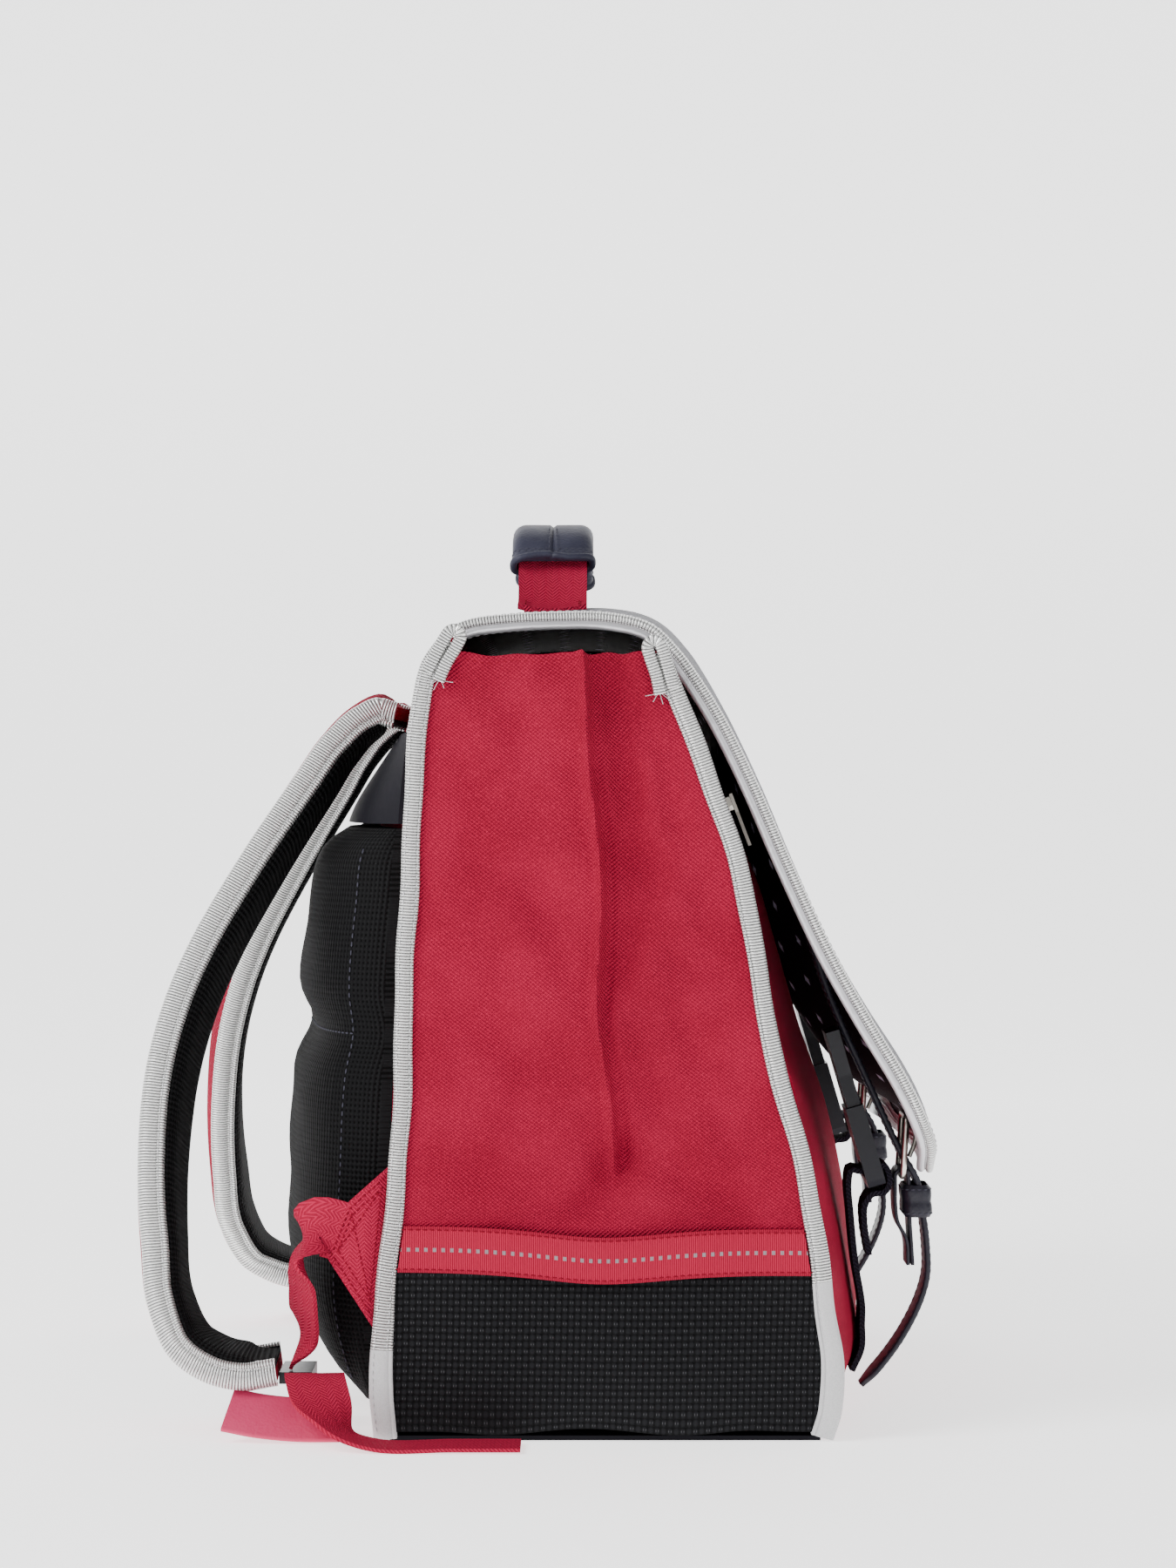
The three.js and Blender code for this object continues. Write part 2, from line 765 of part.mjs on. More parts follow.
// The zip closes the pocket's top; its slider stands on it and the pull hangs from the slider.
function add_zip() {
  const low = pocket_top_z + clearance;
  const high = low + zip_height;
  const zip = wall(
    [low, high],
    [-pocket_half_width, pocket_half_width],
    (z, x) => vec(x, front_face(z) - clearance - zip_wall, z),
    (z, x) => vec(x, front_face(z) - clearance, z),
  );
  add('pocket_zip', zip, black, 0.6);
  const middle = (low + high) / 2;
  const slope = (front_face(high) - front_face(low)) / zip_height;
  const down = vec(0, -slope, -1).normalize();
  const out = vec(0, -1, slope).normalize();
  const seat = vec(-slider_x, front_face(middle) - clearance * 2 - zip_wall, middle);
  const slider_stations = [0, 1].map((t) => ({
    at: seat.clone().addScaledVector(out, slider_height * t),
    across: X,
    out: down,
  }));
  add('zip_slider', sweep(slider_stations, soft_outline(slider_length, slider_width, 2)), steel, 0.3, 1);
  const hook = seat.clone().addScaledVector(out, slider_height + clearance);
  const pull_stations = [0, 0.35, 1].map((t) => ({
    at: hook.clone().addScaledVector(down, (t - 0.12) * pull_length).addScaledVector(out, pull_wall / 2),
    across: X.clone().multiplyScalar(t > 0.5 ? 1 : 0.6),
    out,
  }));
  add('zip_pull', sweep(pull_stations, box_outline(pull_width, pull_wall)), steel, 0.3, 1);
}

// The flap's middle surface. `s` runs from the back seam to the low edge in millimetres.
const flap_curve = new THREE.CatmullRomCurve3(
  flap_line.map((row) => vec(0, row.back * base_depth, row.up * back_height)),
  false,
  'centripetal',
);
const flap_length = flap_curve.getLength();

function flap_point(s, x) {
  const t = THREE.MathUtils.clamp(s / flap_length, 0, 1);
  const at = flap_curve.getPointAt(t);
  const tangent = flap_curve.getTangentAt(t);
  const crown = flap_crown * read(flap_dome, 'along', 'rise', t) * (1 - (x / flap_half_width) ** 2);
  const beside = Math.abs(x / flap_half_width) / flap_sag_half;
  const between = THREE.MathUtils.smoothstep(1 - beside, 0, 0.7);
  const sag = flap_sag * read(flap_hollow, 'along', 'sag', t) * between;
  const lift = crown - sag;
  return vec(x, at.y + tangent.z * lift, at.z - tangent.y * lift);
}

function flap_normal(s, x) {
  const step = 0.5;
  const s0 = Math.min(s, flap_length - step);
  const ds = flap_point(s0 + step, x).sub(flap_point(s0, x));
  const dx = flap_point(s, x + step).sub(flap_point(s, x - step));
  return dx.cross(ds).normalize().negate();
}

// Rows of the flap with the half width at each, ending in rounded corners.
const flap_rows = [];
const flap_shares = [0, 0.045, 0.1, 0.17, 0.24, 0.285, 0.315, 0.345, 0.39, 0.46, 0.54, 0.63, 0.72, 0.8, 0.87];
for (const share of [...flap_shares, 0.94, 1]) {
  flap_rows.push({ s: share * (flap_length - flap_corner), half: flap_half_width });
}
for (const degrees of [22.5, 45, 67.5, 90]) {
  const angle = THREE.MathUtils.degToRad(degrees);
  flap_rows.push({
    s: flap_length - flap_corner * (1 - Math.sin(angle)),
    half: flap_half_width - flap_corner * (1 - Math.cos(angle)),
  });
}
const flap_inner_column = 0.9;
const flap_columns = [-1, -0.94, -0.58, -0.3, 0, 0.3, 0.58, 0.94, 1];

// A sheet parallel to the flap's middle surface, between two distances from it, set in at its sides.
function flap_sheet(low, high, inset = 0) {
  const face = (offset) => (row, c) => {
    const x = row.half * c - (Math.abs(c) > flap_inner_column ? Math.sign(c) * inset : 0);
    const s = row.s;
    return flap_point(s, x).addScaledVector(flap_normal(s, x), offset);
  };
  return wall(flap_rows, flap_columns, face(high), face(low));
}

const flap_stack = flap_wall + clearance + lining_wall;
const flap_slot = flap_stack + 7 * clearance;

function add_flap() {
  add('flap', flap_sheet(flap_stack / 2 - flap_wall, flap_stack / 2), leather_navy, 0.6);
  const lining = flap_sheet(-flap_stack / 2, lining_wall - flap_stack / 2, binding_width / 2);
  add('flap_lining', lining, 0x171016, 0.7);
  const edge = flap_rows.map((row) => ({ s: row.s, x: -row.half }));
  const last = flap_rows[flap_rows.length - 1];
  for (const c of flap_columns.slice(1, -1)) edge.push({ s: last.s, x: last.half * c });
  for (const row of [...flap_rows].reverse()) edge.push({ s: row.s, x: row.half });
  const inset = binding_wall + 2 * clearance;
  const points = edge.map((e) => flap_point(e.s, e.x));
  const stations = edge.map((e, k) => {
    const before = points[Math.max(0, k - 1)];
    const after = points[Math.min(points.length - 1, k + 1)];
    const tangent = after.clone().sub(before).normalize();
    const out = flap_normal(e.s, e.x);
    const across = out.clone().cross(tangent).normalize();
    const middle = flap_point(flap_length * 0.5, 0).sub(points[k]);
    if (e.s > flap_length * 0.9) middle.copy(flap_point(flap_length * 0.8, 0).sub(points[k]));
    if (across.dot(middle) < 0) across.negate();
    return { at: points[k].clone().addScaledVector(across, -inset), across, out };
  });
  add('flap_binding', sweep(stations, tape_outline(flap_binding_width, flap_slot)), silver, 0.45, 0.2);
}

function add_base() {
  const half = inner_half;
  const back = back_y(0) - 2 * board_wall - clearance;
  const front = front_face(back_low_z) + panel_wall + clearance;
  const base = wall(
    [front, back],
    [-half, half],
    (y, x) => vec(x, y, 0),
    (y, x) => vec(x, y, base_wall),
  );
  add('base_panel', base, black, 0.75);
}

// Height of the flap's outer face over the top of the bag.
function flap_top(x, y) {
  let low = 0;
  let high = flap_length * 0.3;
  for (let k = 0; k < 30; k += 1) {
    const middle = (low + high) / 2;
    if (flap_point(middle, x).y > y) low = middle;
    else high = middle;
  }
  return flap_point(low, x).z + flap_stack / 2;
}

// Webbing sewn to the top of the flap, through a padded sleeve.
function add_handle() {
  const seat = (x) => flap_top(x, handle_y) + handle_wall / 2 + 4.6 * clearance;
  const top = flap_top(0, handle_y) + handle_rise;
  const sewn = handle_foot_line.map((row) => {
    const x = row.across * handle_foot_x;
    return [x, seat(x) + row.up * handle_rise];
  });
  const free = handle_line.map((row) => [row.across * handle_foot_x, top - row.below * handle_rise]);
  const half = [...sewn, ...free];
  const points = [
    ...half.map(([x, z]) => vec(-x, handle_y, z)),
    vec(0, handle_y, top),
    ...[...half].reverse().map(([x, z]) => vec(x, handle_y, z)),
  ];
  const stations = along(points, 28, () => Y);
  add('handle_webbing', sweep(stations, box_outline(handle_width, handle_wall)), web_red, 0.8);
  const outer = soft_outline(grip_width, grip_thickness, 4);
  const inner = soft_outline(handle_width + 2 * clearance, handle_wall + 2 * clearance, 0.5);
  add('handle_grip', sleeve(stations.slice(7, 22), outer, inner), leather_navy, 0.5);
}

// Stations of a strap's outer face. The width runs from its inner edge to its outer edge.
function strap_stations(sign) {
  const points = strap_line.map((row) => vec(
    sign * (strap_root_x + strap_splay * row.down),
    strap_root_y + strap_reach * row.out,
    strap_root_z - strap_drop * row.down,
  ));
  const side = (t) => vec(sign, strap_twist * Math.sin(Math.PI * Math.min(1, t * 1.3)), 0);
  return along(points, 20, side).map((s) => ({ ...s, out: s.out.multiplyScalar(-sign) }));
}

// A strap: crowned canvas over padding, mesh on the inner face, folded tape along both edges.
function add_straps() {
  const stack = strap_wall + clearance + strap_mesh_wall;
  const edge_face = -strap_crown;
  const half = strap_width / 2 - binding_wall - clearance;
  const flat = half - strap_edge_width;
  const canvas = [[-half, edge_face - strap_wall], [half, edge_face - strap_wall], [half, edge_face],
    [flat, edge_face], [flat * 0.6, 0], [-flat * 0.6, 0], [-flat, edge_face], [-half, edge_face]];
  const mesh_face = edge_face - strap_wall - clearance;
  const mesh_half = half - clearance;
  const lining = [[-mesh_half, mesh_face], [mesh_half, mesh_face],
    [mesh_half, mesh_face - strap_mesh_wall], [-mesh_half, mesh_face - strap_mesh_wall]];
  const tape = tape_outline(strap_edge_width, stack + 4 * clearance);
  for (const { name, sign } of sides) {
    const stations = strap_stations(sign);
    add(`strap_${name}`, sweep(stations, canvas), red, 0.85);
    add(`strap_lining_${name}`, sweep(stations, lining), mesh_black, 0.9);
    for (const edge of [{ place: 'outer', turn: 1 }, { place: 'inner', turn: -1 }]) {
      const edges = stations.map((s) => ({
        at: s.at.clone().addScaledVector(s.across, edge.turn * strap_width / 2)
          .addScaledVector(s.out, edge_face - stack / 2),
        across: s.across.clone().multiplyScalar(-edge.turn),
        out: s.out,
      }));
      add(`strap_binding_${edge.place}_${name}`, sweep(edges, tape), silver, 0.45, 0.2);
    }
  }
}

const on_body = (row, sign) => vec(
  sign * row.across * half_width,
  row.back * base_depth,
  row.up * gusset_height,
);

// Below each strap: the anchor tab in the back seam, the webbing, its adjuster and the pull tab.
function add_strap_ends() {
  const outer = half_width - channel_half - clearance;
  const seam = (z) => back_y(z) - board_wall / 2;
  const tip = [seam(anchor_tip_z) + anchor_reach, anchor_tip_z];
  const triangle = [[seam(anchor_high_z), anchor_high_z], tip, [seam(anchor_low_z), anchor_low_z]];
  const lower_edge = vec(0, triangle[2][0] - tip[0], anchor_low_z - anchor_tip_z).normalize();
  for (const { name, sign } of sides) {
    const faces = [outer - board_wall, outer].map((x) => ({ at: vec(sign * x, 0, 0), across: Y, out: Z }));
    add(`anchor_tab_${name}`, sweep(faces, triangle), web_red, 0.8);
    const across = vec(sign, 0, 0);
    const side = (t) => lower_edge.clone().lerp(across, THREE.MathUtils.smoothstep(t, 0.12, 0.8));
    const webbing = along(webbing_line.map((row) => on_body(row, sign)), 16, side);
    add(`strap_webbing_${name}`, sweep(webbing, box_outline(webbing_width, webbing_wall)), web_red, 0.8);
    const turned = (t) => Y.clone().lerp(across, THREE.MathUtils.smoothstep(t, 0.12, 0.45));
    const tail = along(tail_line.map((row) => on_body(row, sign)), 16, turned);
    add(`webbing_tail_${name}`, sweep(tail, box_outline(webbing_width, webbing_wall)), web_red, 0.8);
    const lean = vec(sign, 0, -1).normalize();
    const pull = along(pull_line.map((row) => on_body(row, sign)), 8, () => lean);
    add(`pull_tab_${name}`, sweep(pull, box_outline(pull_tab_width, webbing_wall)), pink, 0.5);
    const end = strap_root_y + strap_reach * strap_line[strap_line.length - 1].out;
    const middle = sign * (strap_root_x + strap_splay);
    const adjuster = [adjuster_gap, adjuster_gap + adjuster_length].map((d) => ({
      at: vec(middle, end - d, adjuster_z),
      across: X,
      out: Z,
    }));
    add(`adjuster_${name}`, sweep(adjuster, box_outline(webbing_width + 8, adjuster_wall)), navy, 0.5);
  }
}

// A closed ring of wire: a rounded rectangle in the plane of X and `up`, about its middle.
function ring(middle, up, width, height, wire) {
  const corner = 3;
  const w = width / 2 - wire / 2;
  const h = height / 2 - wire / 2;
  const stations = [];
  const normal = X.clone().cross(up);
  for (const [sx, sz, from] of [[1, 1, 0], [-1, 1, 90], [-1, -1, 180], [1, -1, 270]]) {
    for (const degrees of [0, 45, 90]) {
      const angle = THREE.MathUtils.degToRad(from + degrees);
      const x = sx * (w - corner) + corner * Math.cos(angle);
      const z = sz * (h - corner) + corner * Math.sin(angle);
      const across = X.clone().multiplyScalar(Math.cos(angle)).addScaledVector(up, Math.sin(angle));
      const at = middle.clone().addScaledVector(X, x).addScaledVector(up, z);
      stations.push({ at, across, out: normal });
    }
  }
  const r = wire / 2;
  const section = [0, 60, 120, 180, 240, 300].map((degrees) => {
    const angle = THREE.MathUtils.degToRad(degrees);
    return [r * Math.cos(angle), r * Math.sin(angle)];
  });
  return sweep(stations, section, true);
}

const front_point = (x, row) => vec(x, row.back * base_depth, row.up * back_height);

// The ends of a fastening and the direction it leans in.
function lean(rows) {
  const [low, high] = rows.map((row) => front_point(0, row));
  return { low, high, up: high.clone().sub(low).normalize() };
}

// Leather belt from under the flap, its buckle and prong, the doubled tab and the keeper.
function add_belts() {
  const seat = flap_length * belt_seat;
  const gap = flap_stack / 2 + 3.8 * clearance + belt_wall / 2;
  const { low, high, up } = lean(buckle_ends);
  for (const { name, sign } of sides) {
    const x = sign * fastening_x;
    const under = [seat, seat + belt_sewn].map(
      (s) => flap_point(s, x).addScaledVector(flap_normal(s, x), -gap),
    );
    const points = [...under, ...belt_line.map((row) => front_point(x, row))];
    const belt = along(points, 30, () => X);
    add(`belt_${name}`, sweep(belt, box_outline(belt_width, belt_wall)), navy, 0.5);
    const middle = low.clone().lerp(high, 0.5).setX(x);
    add(`buckle_${name}`, ring(middle, up, buckle_width, buckle_height, buckle_wire), steel, 0.25, 1);
    const bar = middle.clone().addScaledVector(up, -(buckle_height - buckle_wire) / 2);
    const place = (row) => bar.clone().add(vec(0, row.back, row.up));
    const prong = prong_line.map(place);
    add(`prong_${name}`, sweep(along(prong, 6, () => X), box_outline(3, 2)), steel, 0.25, 1);
    const turn = buckle_wire / 2 + 2.4 * clearance + belt_tab_wall / 2;
    const around = [];
    for (const degrees of [0, 45, 90, 135, 180]) {
      const angle = THREE.MathUtils.degToRad(degrees);
      around.push(bar.clone().add(vec(0, turn * Math.cos(angle), turn * Math.sin(angle))));
    }
    const tab = [
      ...tab_inner_line.map(place),
      ...around,
      ...tab_outer_line.map(place),
    ];
    const tab_width = belt_width - 1;
    const tab_body = sweep(along(tab, 22, () => X), box_outline(tab_width, belt_tab_wall));
    add(`buckle_tab_${name}`, tab_body, navy, 0.5);
    const keeper_at = [-keeper_drop, -keeper_drop - keeper_height].map((z) => ({
      at: bar.clone().add(vec(0, z * keeper_slope - keeper_set, z)),
      across: X,
      out: Y,
    }));
    const inner = soft_outline(keeper_inside, keeper_depth, 1);
    const outer = soft_outline(keeper_inside + 2 * keeper_wall, keeper_depth + 2 * keeper_wall, 1.8);
    add(`keeper_${name}`, sleeve(keeper_at, outer, inner), navy, 0.5);
  }
}

// Side-release clip: prongs above, socket and bar below, and the webbing that holds it down.
function add_clips() {
  const { low: foot, up } = lean(clip_ends);
  const out = X.clone().cross(up);
  const plate = (shape, at, thickness) => {
    const geometry = new THREE.ExtrudeGeometry(shape, { depth: thickness, bevelEnabled: false });
    const place = new THREE.Matrix4().makeBasis(X, up, out);
    place.setPosition(at.clone().addScaledVector(out, -thickness / 2));
    geometry.deleteAttribute('normal');
    geometry.deleteAttribute('uv');
    return geometry.applyMatrix4(place);
  };
  const w = clip_width / 2;
  const slot_half = webbing_width / 2 + 2 * clearance;
  for (const { name, sign } of sides) {
    const x = sign * fastening_x;
    const socket = new THREE.Shape();
    socket.moveTo(-w + 3, 0).lineTo(w - 3, 0).lineTo(w, 3).lineTo(w, clip_lower_length)
      .lineTo(-w, clip_lower_length).lineTo(-w, 3).lineTo(-w + 3, 0);
    const slot = new THREE.Path();
    slot.moveTo(-slot_half, clip_bar).lineTo(-slot_half, clip_bar + clip_slot)
      .lineTo(slot_half, clip_bar + clip_slot).lineTo(slot_half, clip_bar).lineTo(-slot_half, clip_bar);
    socket.holes.push(slot);
    add(`clip_lower_${name}`, plate(socket, foot.clone().setX(x), clip_thickness), navy, 0.45);
    const base = clip_upper_length - clip_prong;
    const upper = new THREE.Shape();
    upper.moveTo(-w + 2, clip_prong).lineTo(-w + 2, 0).lineTo(-w + 8, 0).lineTo(-w + 8, clip_prong)
      .lineTo(-2.5, clip_prong).lineTo(-2.5, 0).lineTo(2.5, 0).lineTo(2.5, clip_prong)
      .lineTo(w - 8, clip_prong).lineTo(w - 8, 0).lineTo(w - 2, 0).lineTo(w - 2, clip_prong)
      .lineTo(w - 1, clip_prong + base).lineTo(-w + 1, clip_prong + base).lineTo(-w + 2, clip_prong);
    const upper_at = foot.clone().setX(x).addScaledVector(up, clip_lower_length + clearance);
    add(`clip_upper_${name}`, plate(upper, upper_at, clip_thickness - 2), navy, 0.45);
    const seam = [0.06, 0.09, 0.12].map((share) => {
      const z = share * back_height;
      return vec(x, pocket_face(fastening_x - webbing_width / 2, z) - clearance - tab_wall / 2 - 0.4, z);
    });
    const webbing = along([...seam, ...clip_line.map((row) => front_point(x, row))], 26, () => X);
    add(`clip_webbing_${name}`, sweep(webbing, box_outline(webbing_width, tab_wall)), navy, 0.8);
  }
}

add_side_panels();
add_ribbons();
add_side_bindings();
add_back();
add_back_pads();
add_front();
add_zip();
add_flap();
add_base();
add_handle();
add_straps();
add_strap_ends();
add_belts();
add_clips();

export default root;
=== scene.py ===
import math

import bmesh
import bpy
import numpy as np
from bpy.props import FloatProperty, FloatVectorProperty, PointerProperty
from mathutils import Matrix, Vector
from mathutils.geometry import tessellate_polygon


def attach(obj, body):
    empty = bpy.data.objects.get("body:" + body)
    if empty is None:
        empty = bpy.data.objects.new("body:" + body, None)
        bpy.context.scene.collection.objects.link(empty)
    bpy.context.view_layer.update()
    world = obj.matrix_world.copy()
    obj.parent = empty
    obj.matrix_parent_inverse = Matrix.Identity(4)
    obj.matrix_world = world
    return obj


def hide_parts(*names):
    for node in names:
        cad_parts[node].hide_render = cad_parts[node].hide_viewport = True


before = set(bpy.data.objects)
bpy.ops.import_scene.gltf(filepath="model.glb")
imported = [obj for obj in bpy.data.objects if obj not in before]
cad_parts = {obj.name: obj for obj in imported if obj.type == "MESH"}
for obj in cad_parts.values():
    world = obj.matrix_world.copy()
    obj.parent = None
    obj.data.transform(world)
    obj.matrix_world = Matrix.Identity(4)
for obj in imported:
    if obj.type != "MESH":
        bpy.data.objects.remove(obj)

bl_info = {
    "name": "School Ransel",
    "version": (1, 0, 0),
    "blender": (4, 5, 0),
    "location": "3D View > Sidebar > Ransel",
    "description": "Builds a flap satchel worn on the back, with its cloth, padding, tapes and stitches",
    "category": "Object",
}

# Metres. The front faces -Y, the wearer's back is +Y, X runs across the width, Z is up, and the
# origin is the middle of the base's underside. Tables hold shares of the named sizes.

SIDES = (("left", -1), ("right", 1))
X_AXIS = np.array([1.0, 0.0, 0.0])
Y_AXIS = np.array([0.0, 1.0, 0.0])
Z_AXIS = np.array([0.0, 0.0, 1.0])
GAP = 0.0003
MM = 0.001

# Outer edge of the back binding: up, back.
BACK_EDGE = [
    (0, 0.49), (0.059, 0.502), (0.168, 0.493), (0.275, 0.469), (0.382, 0.4565),
    (0.597, 0.4435), (0.791, 0.429), (0.92, 0.41), (0.965, 0.3925), (1, 0.352),
]

# Outer edge of the front binding: up, back.
FRONT_EDGE = [
    (0, -0.475), (0.038, -0.4965), (0.104, -0.5), (0.17, -0.482), (0.257, -0.46), (0.389, -0.418),
    (0.5, -0.3665), (0.608, -0.3335), (0.72, -0.3025), (0.828, -0.24), (0.937, -0.17), (1, -0.13),
]

# The gusset's centre crease: up, back.
CREASE_LINE = [(0, -0.005), (0.35, -0.0145), (0.53, 0.0145), (0.72, 0.0185), (1, 0.053)]

# Folds of the gusset: across, up, length, width, turn in degrees, depth in millimetres.
GUSSET_FOLDS = [
    (0.44, 0.06, 0.2, 0.035, 60, 3.2), (0.28, 0.33, 0.24, 0.06, -35, 1.8),
    (0.7, 0.3, 0.2, 0.06, 40, 1.8), (0.3, 0.62, 0.24, 0.07, -48, 1.6),
    (0.72, 0.68, 0.2, 0.06, 35, 1.6), (0.2, 0.14, 0.16, 0.035, 20, 1.4),
    (0.8, 0.1, 0.14, 0.03, -25, 1.3), (0.36, 0.86, 0.2, 0.05, -60, 1.2),
    (0.63, 0.47, 0.16, 0.03, 62, -1.0), (0.38, 0.45, 0.16, 0.03, -62, -1.0),
]

# How far the back bulges out: up, share of the swell.
BACK_BULGE = [(0, 0), (0.1, 0.6), (0.25, 1), (0.6, 1), (0.78, 0.85), (0.9, 0.4), (1, 0)]

# Thickness of a back pad from its low end: up, share of the thickness.
PAD_PROFILE = [
    (0, 0.16), (0.05, 0.5), (0.18, 0.86), (0.4, 1), (0.56, 0.99),
    (0.64, 0.84), (0.72, 0.97), (0.88, 0.88), (0.95, 0.82), (0.985, 0.62), (1, 0.42),
]

# How far the front pocket stands out: up, share of its depth.
POCKET_PROFILE = [
    (0, 0), (0.04, 0.7), (0.12, 0.95), (0.26, 1), (0.45, 0.96), (0.65, 0.82), (0.85, 0.5), (1, 0.06),
]

# Middle of the flap's cloth from the back seam to its low edge: back, up.
FLAP_LINE = [
    (0.3225, 1.0015), (0.285, 1.0095), (0.215, 1.0147), (0.105, 1.0177), (-0.005, 1.0162),
    (-0.085, 1.004), (-0.1375, 0.975), (-0.175, 0.9456), (-0.23, 0.8941), (-0.3025, 0.8088),
    (-0.3665, 0.7221), (-0.46, 0.6044), (-0.5425, 0.5176), (-0.622, 0.4397), (-0.654, 0.4),
    (-0.6735, 0.36), (-0.667, 0.328),
]

# How far the flap's middle stands above its edges: along, share of the crown.
FLAP_DOME = [(0, 0), (0.15, 1), (0.5, 1), (0.75, 0.85), (1, 1.25)]

# How far the flap sags in between the belts: along, share of the sag.
FLAP_HOLLOW = [(0, 0), (0.34, 0), (0.46, 0.6), (0.6, 1), (0.78, 1), (0.88, 0.9), (0.95, 0.35), (1, 0)]

# Webbing from the anchor tab to the adjuster: back, up, across.
WEBBING_LINE = [
    (0.54, 0.259, 0.98), (0.575, 0.267, 0.982), (0.612, 0.27, 0.982), (0.64, 0.25, 0.972),
    (0.648, 0.212, 0.945),
    (0.646, 0.17, 0.917), (0.65, 0.126, 0.868), (0.664, 0.101, 0.839),
]

# The webbing's free end, from the adjuster down to the floor and along beside the bag.
TAIL_LINE = [
    (0.622, 0.0735, 0.9215), (0.618, 0.081, 0.976), (0.6, 0.057, 1.034), (0.56, 0.021, 1.083),
    (0.48, 0.005, 1.098), (0.32, 0.005, 1.1), (0.18, 0.005, 1.1),
]

# Smooth tab under the end of the strap.
PULL_LINE = [
    (0.8, 0.0385, 0.985), (0.73, 0.0315, 0.995), (0.65, 0.0275, 1), (0.56, 0.0275, 1.005),
]

# Low and high end of a buckle: back, up.
BUCKLE_ENDS = [(-0.6475, 0.31), (-0.6565, 0.387)]

# The prong and the doubled tab, in millimetres from the buckle's lower bar: back, up.
PRONG_LINE = [(-3.9, 7.5), (-6.6, 15), (-6.4, 21), (-4.8, 27)]
TAB_INNER_LINE = [(-2.7, -39), (-2, -28), (1.9, -20), (2.9, -12), (2.9, -6)]
TAB_OUTER_LINE = [(-3, -8), (-3.3, -16), (-3.7, -24), (-4, -28), (-4.7, -39)]

# The belt below the flap, through the buckle and the keeper to its free tip: back, up.
BELT_LINE = [
    (-0.488, 0.5441), (-0.585, 0.4162), (-0.63, 0.3588), (-0.6475, 0.3382), (-0.6665, 0.3206),
    (-0.6815, 0.3029), (-0.687, 0.2794), (-0.696, 0.2529), (-0.7025, 0.2176), (-0.703, 0.1824),
    (-0.6865, 0.1471), (-0.65, 0.1047), (-0.605, 0.0676), (-0.56, 0.0382),
]

# Webbing of the clip: up the pocket, over the clip's bar and down to its hemmed tail: back, up.
CLIP_LINE = [
    (-0.56, 0.145), (-0.545, 0.2), (-0.535, 0.26), (-0.53, 0.302), (-0.5365, 0.318),
    (-0.555, 0.3165), (-0.5815, 0.3197), (-0.6085, 0.3235), (-0.619, 0.312), (-0.619, 0.299),
    (-0.608, 0.2895), (-0.581, 0.2865), (-0.566, 0.273), (-0.565, 0.247), (-0.575, 0.209),
]

# Silver ribbed tape: colour, painted shade in the grooves, pitch of the ribs, roughness, depth and metal.
SILVER = ((0.94, 0.94, 0.92), (0.06, 0.06, 0.065), 0.00125, 0.34, 0.0006, 0.6)

# Outer face of a strap from its root: share of the drop, share of the reach.
STRAP_LINE = [
    (0, 0), (-0.008, 0.1), (0.014, 0.21), (0.058, 0.318), (0.117, 0.42), (0.234, 0.616),
    (0.362, 0.805), (0.456, 0.907), (0.557, 0.973), (0.68, 1), (0.79, 0.99), (0.885, 0.955),
    (0.956, 0.86), (0.99, 0.72), (1, 0.58), (0.994, 0.455),
]


# Seams, in millimetres: from stitch to stitch, length of a stitch, thickness of the thread.
SEAMS = {
    "gusset_hem": (3.2, 2.4, 0.6),
    "ribbon": (3.0, 2.2, 0.55),
    "tape_end": (0.6, 0.9, 0.3),
    "zip_teeth": (2.2, 1.3, 1.8),
    "flap_binding": (3.4, 2.3, 0.6),
    "flap_band": (3.6, 2.4, 0.5),
    "handle": (3.0, 2.2, 0.6),
    "strap": (3.6, 2.4, 0.6),
    "anchor_tab": (2.6, 1.9, 0.6),
    "belt": (3.4, 2.4, 0.6),
    "clip": (3.0, 2.2, 0.6),
    "keeper": (2.8, 2.0, 0.6),
    "side_binding": (3.4, 2.2, 0.6),
    "plain": (3.6, 2.6, 0.7),
}


def length(name, default, text):
    return FloatProperty(
        name=name, description=text, default=default, min=0, subtype="DISTANCE", unit="LENGTH")


class RanselBody(bpy.types.PropertyGroup):
    width: length("Width", 0.41, "Width of the bag between the middles of its side bindings")
    gusset: length("Gusset height", 0.333, "Height of the canvas sides")
    back: length("Back height", 0.34, "Height of the back panel and its binding")
    front: length("Front height", 0.334, "Height of the front panel and its binding")
    depth: length("Base depth", 0.2, "Depth of the base that the tables' shares refer to")
    canvas: length("Canvas", 0.0016, "Thickness of the side canvas")
    base_cloth: length("Base cloth", 0.002, "Thickness of the woven side base")
    board: length("Board", 0.003, "Thickness of the back board and the yoke")
    crease: length("Crease", 0.009, "How far the gusset's centre stands out at the top")
    nip: length("Nip", 0.0042, "Extra height of the narrow fold along the crease")
    ribbon_z: length("Ribbon height", 0.079, "Height of the ribbon's middle")
    ribbon: length("Ribbon width", 0.0195, "Width of the ribbon over the side seam")
    tape: length("Tape width", 0.008, "Width of a folded binding tape")
    tape_wall: length("Tape wall", 0.0012, "Thickness of the binding tape")


